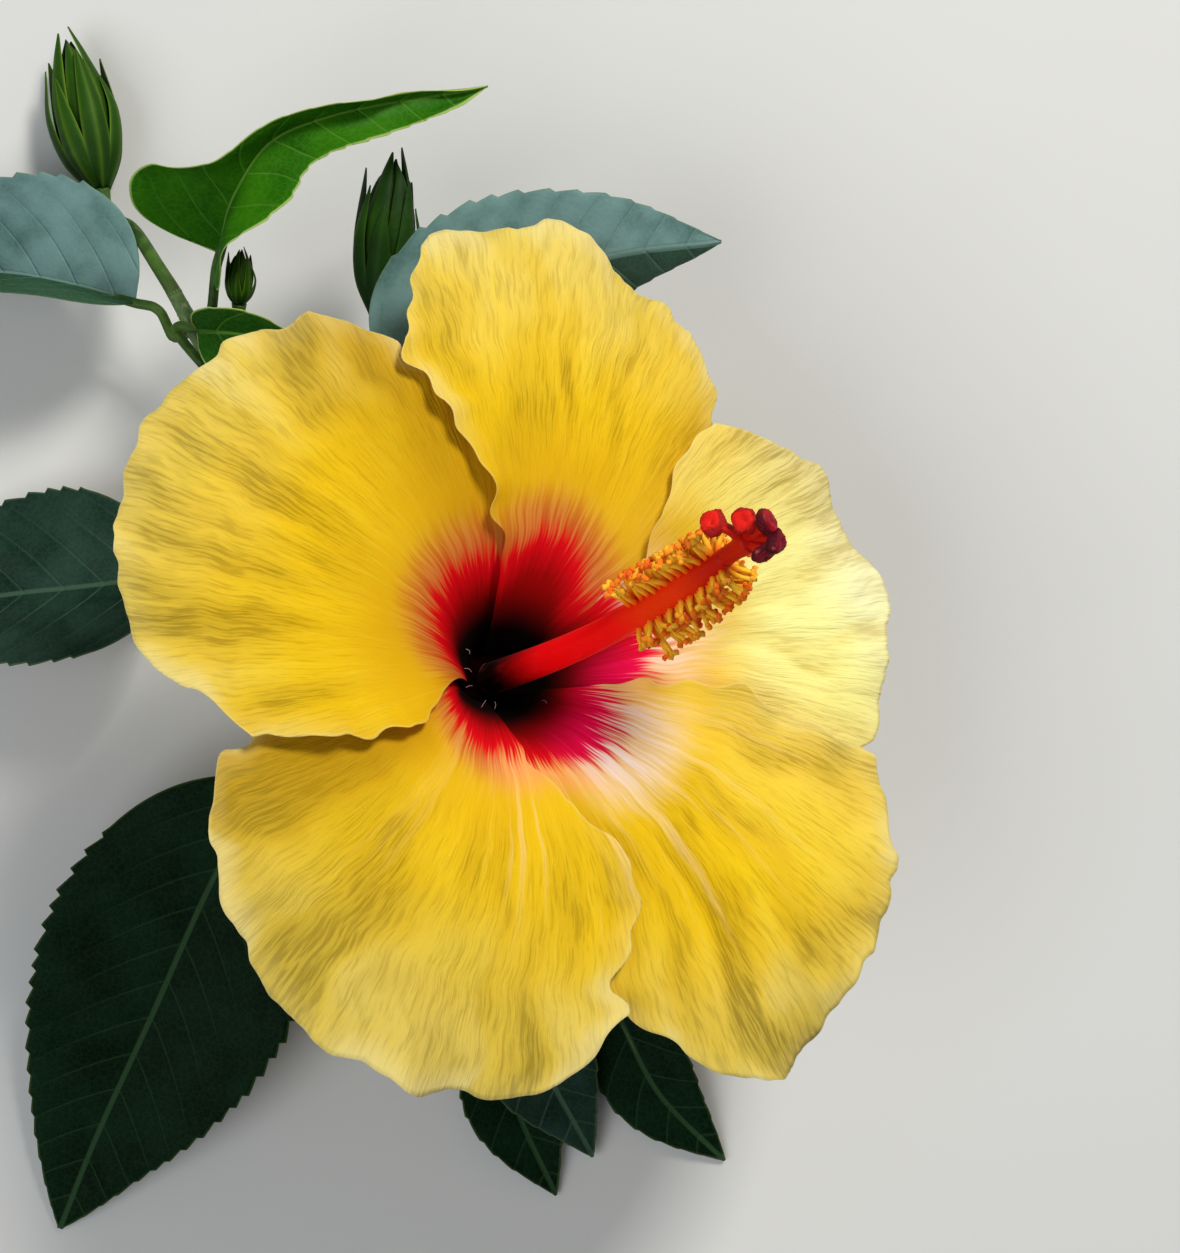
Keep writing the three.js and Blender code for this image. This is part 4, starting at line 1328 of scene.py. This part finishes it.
# shaded says how much painted shade each half of a blade gets.
leaves = [
    {"name": "leaf_beside_bud", "at": 0.95, "toward": (-1, 0.1, -0.4), "width": 42, "roll": (36, 30),
     "fold": 38, "green": "sky", "shaded": (0, 1),
     "rib": [(-90, 64, 22), (-103.3, 68, 19), (-118, 71, 14), (-152, 72, 1.2)]},
    {"name": "leaf_young_folded", "at": 0.95, "toward": (0.8, 0.5, 1), "width": 40, "roll": (-30, 40),
     "fold": 42, "widest": 0.24, "green": "young", "wave": 2.4, "slim": 0.6, "tuck": 0.5,
     "rib": [(-71.5, 72.5, 33), (-67, 81, 45), (-60, 90, 52), (-49, 95, 52), (-19.4, 102.7, 42)]},
    {"name": "leaf_behind_top_petal", "at": 0.62, "toward": (1, 0.6, 0.4), "width": 40, "roll": (25, 25),
     "fold": -25, "green": "sky", "shaded": (0.8, 0),
     "rib": [(-34.8, 43.5, 44), (-22.4, 57.3, 46), (1.3, 69.3, 44), (25.3, 74, 36)]},
    {"name": "leaf_left", "at": 0.55, "toward": (-1, -0.3, 0.1), "width": 42, "roll": (26, 26),
     "fold": 20, "green": "shiny",
     "rib": [(-84.8, 10, 14), (-100.7, 8, 13), (-119.5, 6, 10), (-152.2, 0.5, 2)]},
    {"name": "leaf_large_lower", "at": 0.4, "toward": (-1, -0.6, 0.5), "width": 55, "roll": (2, 2),
     "fold": 8, "widest": 0.42, "green": "dark",
     "rib": [(-62.9, -30.8, 22), (-73.4, -47, 18), (-88.8, -79.4, 12), (-101, -104.8, 6),
             (-109.2, -124, 1.2)]},
    {"name": "leaf_small_upper", "at": 0.88, "toward": (0.2, -0.4, 1), "width": 19, "roll": (38, 38),
     "fold": 30, "green": "young", "shaded": (0.6, 0.6),
     "rib": [(-76, 57.5, 33), (-65.1, 56, 37), (-50, 51, 37)]},
    {"name": "leaf_under_middle", "at": 0.2, "toward": (-0.6, -1, 0.9), "width": 27, "roll": (0, 0),
     "fold": 12, "green": "shiny", "rib": [(-20.1, -67.2, 13), (-9.1, -90, 9), (0.6, -109.1, 2)]},
    {"name": "leaf_under_right", "at": 0.1, "toward": (1, -0.2, 0.6), "width": 20, "roll": (8, 8),
     "fold": 10, "green": "dark", "rib": [(6, -80, 5), (14, -95.5, 4), (27.8, -110, 1.2)]},
    {"name": "leaf_under_left", "at": 0.1, "toward": (-1, -0.2, -0.1), "width": 21, "roll": (-8, -8),
     "fold": 10, "green": "dark", "rib": [(-20, -84.4, 4.4), (-14.3, -101.1, 3.6), (-7, -117.2, 1.2)]},
    {"name": "leaf_covered_right", "at": 0.2, "toward": (1, 0.3, 0.3), "width": 32, "roll": (0, 0),
     "fold": 10, "green": "dark", "rib": [(8, -48, 8), (28, -32, 6), (50, -12, 1.2)]},
    {"name": "leaf_covered_upper", "at": 0.4, "toward": (1, 0.5, 0.3), "width": 30, "roll": (0, 0),
     "fold": 10, "green": "dark", "rib": [(-14, 6, 14), (2, 22, 15), (20, 36, 10)]},
]
print("leaves:", len(leaves))

# %% [markdown]
# The two halves of a blade are worked out one by one, because one may be slimmer or tucked under.
# A tooth is like a saw's: it rises slowly towards the leaf's tip and then drops back.

# %% How a leaf is bent
def leaf_shape(share, widest):
    """How wide the blade is: round at the foot, slender at the tip."""
    bend_by = log(0.5) / log(widest)
    return max(0.02, sin(pi * share ** bend_by) ** 0.8 * (1 - 0.25 * share ** 3))


def half_width(leaf, along, share, teeth):
    """From the rib to the toothed edge of one half, which may be slimmed or tucked under."""
    half = leaf["width"] / 2 * leaf_shape(along, leaf.get("widest", usual_widest))
    if share > 0:
        half *= 1 - leaf.get("slim", 0) * eased(slim_start, slim_end, along)
    else:
        half *= 1 - leaf.get("tuck", 0) * sin(pi * along)
    jitter = tooth_jitter * noise.noise(Vector((along * 9, share, leaf["width"])))
    tooth = (along * teeth + jitter) % 1
    toothed = eased(plain_start, plain_end, along) * abs(share) ** 8
    return half * (1 + tooth_depth * (tooth - 0.5) * toothed)


def leaf_place(leaf, rib, teeth):
    fold = radians(leaf["fold"])
    foot_roll, tip_roll = leaf["roll"]
    shaded = leaf.get("shaded", (0, 0))

    def place(along, across):
        ahead = rib.ahead(along)
        level = up.cross(ahead).normalized()
        roll = between(foot_roll, tip_roll, eased(roll_start, roll_end, along))
        aside = Quaternion(ahead, radians(roll)) @ level
        normal = ahead.cross(aside)
        share = 2 * across - 1
        half = half_width(leaf, along, share, teeth)
        distance, side = along * rib.length, abs(share) * half
        from_vein = (vein_phase(distance, side) % 1 - 0.5) * vein_spacing
        groove = exp(-(from_vein / groove_width) ** 2) * eased(0, 2, side)
        relief = quilt * (quilt_level - groove) * eased(0, 3, half - side)
        wave = noise.noise(Vector((distance * wave_rate, share * 1.5, leaf["width"]))) * share ** 2
        point = rib.at(along) + aside * (share * half * cos(fold))
        point += normal * (side * sin(fold) + relief + leaf.get("wave", usual_wave) * wave)
        edge = half - side
        marks = {"along": distance, "side": share * half, "edge": edge, "rim": eased(0, 2, edge),
                 "shaded": shaded[share > 0]}
        return point, marks

    return place


# %% [markdown]
# Each blade is one grid with a few rows for every tooth. Its stalk ends under the blade's foot,
# and a thin limb goes on below the blade as the middle rib.

# %% Bend the leaves and their stalks
rib_radius, rib_sink = 0.75, 0.3
under_share, under_sink = 0.1, 0.6

leaf_stalks = new_mesh("share")
for leaf in leaves:
    rib = Path(leaf["rib"])
    teeth = round(rib.length / tooth_length)
    bm = new_mesh("along", "side", "edge", "rim", "shaded")
    bend(bm, teeth * rows_per_tooth, blade_columns, leaf_place(leaf, rib, teeth))
    made = piece(f"blade_{leaf['name']}", bm, leaf_greens[leaf["green"]], [leaf["name"]])
    thicken(made, leaf_thickness)
    foot, ahead = rib.at(0), rib.ahead(0)
    under = rib.at(under_share) - up * under_sink
    path, root = stalk_path(leaf["at"], leaf["toward"], [foot - ahead * foot_straight, foot, under])
    add_stalk(leaf_stalks, path, root, stalk_width)
    below = Path([rib.at(step / 12) - up * rib_sink for step in range(13)])
    limb(leaf_stalks, below, lambda share, turn: rib_radius * (1 - 0.9 * share),
         sides=8, steps=30, marks=lambda share, turn: {"share": 0.5})

# %% [markdown]
# Two thin stipules stand beside each leaf stalk where it leaves the stem. They are small, but a
# shoot without them looks like a toy.

# %% Stipules
stipule_radius = 0.4

for leaf in leaves:
    path, root = stalk_path(leaf["at"], leaf["toward"], [Vector(leaf["rib"][0])])
    out = path.ahead(0)
    forward = stem_path.ahead(leaf["at"])
    across = out.cross(forward).normalized()
    for side in (-1, 1):
        start = root + across * (side * 1.1) + out * 0.2
        points = [start, start + (out * 0.8 + across * side * 0.8 + forward * 0.6) * 1.3,
                  start + (out * 1.1 + across * side * 0.9 + forward * 1.5) * 1.7]
        limb(leaf_stalks, Path(points), lambda share, turn: stipule_radius * (1 - 0.9 * share),
             sides=7, steps=8, marks=lambda share, turn: {"share": 0.05})
weld(leaf_stalks)
piece("leaf_stalks", leaf_stalks, stalk_green)

# %% [markdown]
# ## Buds
# A bud is closed: five broad sepals hug a core and their tips just part, and seven narrower
# bracts stand round them, each with a pale edge of painted highlight. Sepals and bracts are
# the same thing to make: a flattened limb that is cupped across so that it hugs what it covers.

# %% Bud shapes
bract_count, sepal_count = 7, 5
core_share, core_height = 0.8, 0.93
core_rows, core_columns = 40, 40
core_ridge = 0.06
leaflet_rows, leaflet_columns = 28, 16
keel_width = 0.05

# lit scales a bud's marks down, as painted shade for the bud in shade.
buds = [
    {"name": "bud_large", "length": 35, "radius": 6.6, "foot": (-99.1, 88.2, 9.5),
     "tip": (-107.8, 123.3, 6.4), "at": 1, "bends": [(-85, 70.8, 25), (-91.5, 79.5, 17.6)]},
    {"name": "bud_shaded", "length": 33, "radius": 5.9, "foot": (-41.3, 60.1, 30), "tip": (-37.1, 93, 35),
     "at": 0.75, "toward": (0.8, 0.5, 0.6), "bends": [(-49, 45, 26)], "lit": 0.35},
    {"name": "bud_small", "length": 12, "radius": 2.7, "foot": (-67.5, 61.7, 36), "tip": (-66.4, 70.9, 41),
     "at": 0.88, "toward": (0.9, 0.5, -0.1), "bends": [(-68, 57.5, 27.4)]},
]
print("buds:", len(buds))


def bud_width(share, radius):
    """How wide a bud is at a share of its height: fullest below the middle."""
    return radius * sin(pi * min(max(share, 0.015), 0.995) ** 0.82) ** 0.92


# %% [markdown]
# A leaflet is flat, with a raised keel along its back. Its cross section is bent by the cup: the
# edges of a bud's leaflets turn in and hug the bud.

# %% Leaflets of a bud
def cupped_limb(bm, path, outward, width, thickness, fullest=0.315, cup=0.12, foot=0.14):
    """A flattened limb, such as a bract: cup lifts its edges outward, or inward below 0."""
    bend_by = log(0.5) / log(fullest)

    def place(share, turn):
        ahead = path.ahead(share)
        across = ahead.cross(outward).normalized()
        normal = across.cross(ahead)
        fullness = sin(pi * min(share, 0.999) ** bend_by) ** 0.8
        half = width / 2 * (between(foot, 0.05, share) + (1 - foot) * fullness)
        angle = 2 * pi * turn
        thin = thickness / 2 * sin(angle) * (1 - 0.6 * share)
        keel = exp(-((turn - 0.25) / keel_width) ** 2)
        point = path.at(share) + across * (half * cos(angle))
        point += normal * (thin + 0.35 * thickness * keel * (1 - share) + cup * half * cos(angle) ** 2)
        # Painted highlight: a leaflet's edges are marked to turn pale.
        painted_edge_highlight = abs(cos(angle)) ** 10
        return point, {"keel": max(painted_edge_highlight, 0.5 * keel), "share": share}

    bend(bm, leaflet_rows, leaflet_columns, place)


# %% [markdown]
# Sepals and bracts share one satin green, darker at the foot. The mark called keel is 1 along a
# leaflet's edges and half that along its back, and turns the green pale there as painted highlight.

# %% Sepal green
def sepal_finish():
    sepal = Finish("sepal_green", Roughness=0.55, Specular_IOR_Level=0.12, Subsurface_Weight=0.05,
                   Subsurface_Scale=0.001)
    keel, share = sepal.mark("keel"), sepal.mark("share")
    place = sepal.place()
    grain = sepal.noise(place, scale=330, detail=3.0)
    blotch = sepal.noise(place, scale=110, detail=1.0)
    colour = sepal.mix((share + blotch * 1.2).ramp(-0.1, 0.9), (0.005, 0.028, 0.001), (0.018, 0.07, 0.001))
    colour = sepal.mix(keel ** 2 * 0.85, colour, (0.22, 0.4, 0.03))
    colour = sepal.mix(grain.ramp(0.1, 0.35) * 0.12, colour, (0.16, 0.26, 0.04))
    return sepal.wear(Base_Color=colour, Normal=sepal.relief(grain, 0.3))


sepal_green = sepal_finish()

# %% [markdown]
# A bud is built upright at nothing, where its leaflets only have to be turned round one axis, and
# is moved to its place at the end. Leaflets differ a little in height and lean, because equal ones
# would look cast.

# %% Bud parts
sepal_width, sepal_thickness, sepal_cup = 1.22, 0.13, -0.42
bract_width, bract_thickness, bract_cup = 0.92, 0.12, -0.32


def bud_home(bud):
    """Brings a bud that stands upright at nothing to its place on the branch."""
    foot, tip = Vector(bud["foot"]), Vector(bud["tip"])
    return Matrix.Translation(foot) @ up.rotation_difference(tip - foot).to_matrix().to_4x4()


def bud_core(bm, bud):
    """The closed petals inside, which only show between the sepals, in their darkest green as painted
    shade.
    """
    radius, length = bud["radius"] * core_share, bud["length"] * core_height

    def place(share, turn):
        angle = 2 * pi * turn
        width = bud_width(share, radius) * (1 + core_ridge * cos(5 * angle + 6 * share))
        return Vector((width * cos(angle), width * sin(angle), share * length)), {"keel": 0, "share": 0}

    bend(bm, core_rows, core_columns, place)


def add_leaflet(bm, turn, points, width, thickness, cup):
    """One sepal or bract, placed by distances from the bud's axis and heights along it."""
    turned = Matrix.Rotation(turn, 4, "Z")
    path = Path([turned @ Vector((out, 0, height)) for out, height in points])
    outward = turned @ Vector((1, 0, 0))
    cupped_limb(bm, path, outward, width, thickness, fullest=0.42, cup=cup, foot=0.3)


def add_sepals(bm, bud):
    radius, length = bud["radius"], bud["length"]
    for index in range(sepal_count):
        tall = length * (1 - 0.035 * ((index * 2) % 5))
        lean = 0.16 + 0.05 * ((index * 3) % 4)
        points = [(0.2 * radius, 0.02 * length), (bud_width(0.2, radius) * 0.86, 0.2 * length),
                  (bud_width(0.5, radius) * 0.9, 0.5 * length), (0.52 * radius, 0.8 * length),
                  (lean * radius, tall)]
        turn = 2 * pi * (index + 0.2) / sepal_count
        add_leaflet(bm, turn, points, sepal_width * radius, sepal_thickness * radius, sepal_cup)


def add_bracts(bm, bud):
    radius, length = bud["radius"], bud["length"]
    for index in range(bract_count):
        tall = length * (0.66 + 0.05 * ((index * 3) % 5))
        spread = 0.82 + 0.1 * ((index * 2) % 4)
        points = [(0.22 * radius, 0.01 * length), (bud_width(0.2, radius) + 0.1 * radius, 0.2 * length),
                  (bud_width(0.45, radius) * 0.98 + 0.12 * radius, 0.45 * length), (spread * radius, tall)]
        turn = 2 * pi * index / bract_count
        add_leaflet(bm, turn, points, bract_width * radius, bract_thickness * radius, bract_cup)


# %% [markdown]
# The bud that lies in the shade has its marks dimmed as painted shade, so that its green is darker
# and its pale edges don't gleam.

# %% Close the buds
for bud in buds:
    bm = new_mesh("keel", "share")
    bud_core(bm, bud)
    add_sepals(bm, bud)
    add_bracts(bm, bud)
    weld(bm)
    for vert in bm.verts:
        for layer in bm.verts.layers.float.values():
            vert[layer] *= bud.get("lit", 1)
    bmesh.ops.transform(bm, matrix=bud_home(bud), verts=bm.verts)
    piece(f"sepals_{bud['name']}", bm, sepal_green, [bud["name"]])

# %% [markdown]
# A bud's stalk is a leaf's with a knob near its top, where the bloom will part one day. The large
# bud ends the shoot, so its stalk goes straight on from the stem's tip.

# %% Bud stalks
tip_gap = 0.6
knob_place, knob_height = 0.72, 0.4


def bud_stalk_width(bud):
    """Stouter for a larger bud."""
    stout = 0.6 + 0.11 * bud["radius"]

    def width(share):
        knob = knob_height * exp(-((share - knob_place) / 0.04) ** 2)
        return stout + 0.2 * exp(-share / 0.12) + 0.6 * share ** 8 + knob

    return width


for bud in buds:
    foot = Vector(bud["foot"])
    ahead = (Vector(bud["tip"]) - foot).normalized()
    points = [*[Vector(point) for point in bud["bends"]], foot - ahead * foot_straight, foot + ahead * 0.4]
    if bud["at"] < 1:
        path, root = stalk_path(bud["at"], bud["toward"], points)
    else:
        tip, onward = stem_path.at(1), stem_path.ahead(1)
        path, root = Path([tip + onward * tip_gap, *points]), tip - onward * cushion_sink
    bm = new_mesh("share")
    add_stalk(bm, path, root, bud_stalk_width(bud), steps=60)
    weld(bm)
    piece(f"stalk_of_{bud['name']}", bm, stalk_green, [f"{bud['name']}_stalk"])

# %% [markdown]
# The open bloom's stalk has the same knob. It rises from the stem, bends once and comes up square
# under the disc that carries the bloom's bracts.

# %% The bloom's stalk
disc_top = -5.95
disc_thickness = 1.2
stalk_top = disc_top - disc_thickness - clear_gap
bloom_at, bloom_toward = 0.28, (0.1, -0.1, 1)
bloom_bend = Vector((-25.5, -24, 22))


def bloom_stalk_width(share):
    knob = knob_height * exp(-((share - knob_place) / 0.03) ** 2)
    return 1.5 + 0.8 * share ** 6 + knob


bloom_points = [bloom_bend, in_bloom((0, 0, stalk_top - 8)), in_bloom((0, 0, stalk_top + 0.4))]
path, root = stalk_path(bloom_at, bloom_toward, bloom_points)
bm = new_mesh("share")
add_stalk(bm, path, root, bloom_stalk_width, sides=20, steps=60)
weld(bm)
piece("stalk_of_bloom", bm, stalk_green, ["bloom_stalk"])

# %% [markdown]
# ## Calyx and epicalyx
# From behind, the bloom sits in a cup of five pointed sepals, and under the cup stands a ring of
# seven narrow bracts. The cup follows the funnel at a small distance, so it can be a profile
# that is turned about the axis while its rim rises and falls.

# %% Calyx
calyx_inset, calyx_wall = 2.4, 1.1
calyx_foot, calyx_bottom = 2.2, -5.6
calyx_shoulder = (6.4, -4.0)
cup_floor = -0.9
lobe_start, lobe_length, lobe_power = 9, 6.5, 1.4
wall_hollow, wall_rib = 0.25, 0.18
side_steps = 8
profile_rows, cup_columns = 66, 150


def funnel_offset(radius, inset):
    """A point of the profile at a distance under the petals' funnel."""
    slope = funnel_depth / funnel_flare * exp(-(radius - claw_radius) / funnel_flare)
    lean = hypot(slope, 1)
    return radius + inset * slope / lean, funnel_height(radius) - inset / lean


def calyx_place(share, turn):
    """Goes once round the profile: up the outside, over the rim and down the inside."""
    angle = 2 * pi * turn
    keel = abs(cos(sepal_count / 2 * angle))
    rim = lobe_start + lobe_length * keel ** lobe_power
    wall = calyx_wall - wall_hollow * (1 - keel ** 6) + wall_rib * keel ** 12
    rise = [between(claw_radius, rim, step / side_steps) for step in range(side_steps + 1)]
    fall = [between(rim, claw_radius, step / side_steps) for step in range(side_steps + 1)]
    profile = [(0, calyx_bottom), (calyx_foot, calyx_bottom), calyx_shoulder,
               *[funnel_offset(radius, calyx_inset + wall) for radius in rise],
               *[funnel_offset(radius, calyx_inset) for radius in fall],
               (claw_radius, cup_floor), (0, cup_floor)]
    place = share * (len(profile) - 1)
    index = min(int(place), len(profile) - 2)
    (near, low), (far, high) = profile[index], profile[index + 1]
    radius, height = between(near, far, place - index), between(low, high, place - index)
    point = in_bloom((radius * cos(angle), radius * sin(angle), height))
    return point, {"keel": keel ** 14, "share": min(1, height / 24 + 0.3)}


calyx = new_mesh("keel", "share")
bend(calyx, profile_rows, cup_columns, calyx_place)
weld(calyx)
piece("calyx_cup", calyx, sepal_green, ["calyx"])

# %% [markdown]
# The epicalyx is a small disc that bulges in the middle of its height, with seven bracts that curve
# up beside the cup. They are the buds' leaflets again, narrower and cupped the other way.

# %% Epicalyx
disc_radius = 3.0
ring_bract_width, ring_bract_thickness = 2.6, 0.7

epicalyx = new_mesh("keel", "share")
middle = disc_top - disc_thickness / 2
disc_heights = (disc_top - disc_thickness - 0.2, middle, disc_top + 0.3)
disc = Path([in_bloom((0, 0, height)) for height in disc_heights])
limb(epicalyx, disc, lambda share, turn: disc_radius - 0.6 * (2 * share - 1) ** 2,
     sides=32, steps=8, marks=lambda share, turn: {"keel": 0, "share": 0.3})
for index in range(bract_count):
    turn = Matrix.Rotation(2 * pi * (index + 0.3) / bract_count, 4, "Z")
    points = [(1.6, 0, middle), (6.5, 0, disc_top + 0.2), (11.4, 0, 1), (16.5, 0, 9)]
    path = Path([in_bloom(turn @ Vector(point)) for point in points])
    outward = bloom_turn @ (turn @ Vector((1, 0, -0.6)))
    cupped_limb(epicalyx, path, outward, ring_bract_width, ring_bract_thickness)
weld(epicalyx)
piece("epicalyx_bracts", epicalyx, sepal_green, ["epicalyx"])

# %% [markdown]
# ## Floor and light
# A plain pale floor takes the branch's shadow. It lies a hair below the height that the branch
# rests at, so that the two never share one place.

# %% Floor
floor_size = 3
floor_gap = 0.0002

bm = bmesh.new()
bmesh.ops.create_grid(bm, x_segments=1, y_segments=1, size=floor_size)
floor_mesh = bpy.data.meshes.new("floor")
bm.to_mesh(floor_mesh)
bm.free()
paper = Finish("floor_paper", Roughness=0.9)
floor_mesh.materials.append(paper.wear(Base_Color=(0.7, 0.7, 0.68)))
floor = bpy.data.objects.new("floor", floor_mesh)
floor.location.z = -floor_gap
bpy.context.scene.collection.objects.link(floor)
floor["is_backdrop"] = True

# %% [markdown]
# Two soft lamps light the branch: a key from the upper right of the picture, which brightens the
# right-hand petals and lets each free edge shade its neighbour, and a broad fill from the left. The
# sky adds a faint blue from everywhere.

# %% Lamps and sky
def lamp(name, place, size, power, colour):
    """A square soft lamp that looks at the middle of the floor."""
    light = bpy.data.lights.new(name, "AREA")
    light.size = size
    light.energy = power
    light.color = colour
    made = bpy.data.objects.new(name, light)
    made.location = place
    made.rotation_euler = (-Vector(place)).to_track_quat("-Z", "Y").to_euler()
    bpy.context.scene.collection.objects.link(made)


lamp("key", place=(0.5, 0.75, 0.95), size=0.3, power=12.9, colour=(1, 0.97, 0.92))
lamp("fill", place=(-0.6, -0.35, 1.0), size=0.9, power=6, colour=(0.95, 0.97, 1))
world = bpy.data.worlds.new("sky")
world.use_nodes = True
world.node_tree.nodes["Background"].inputs["Color"].default_value = (0.85, 0.92, 1, 1)
world.node_tree.nodes["Background"].inputs["Strength"].default_value = 0.2
bpy.context.scene.world = world
bpy.context.scene.view_settings.view_transform = "Standard"

# %% [markdown]
# What shows has to be as large as the solids that it stands for.

# %% Sizes
shown_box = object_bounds()
shown_sides = [round(side * 1000, 1) for side in shown_box[1] - shown_box[0]]
print("shown:", shown_sides, "mm")
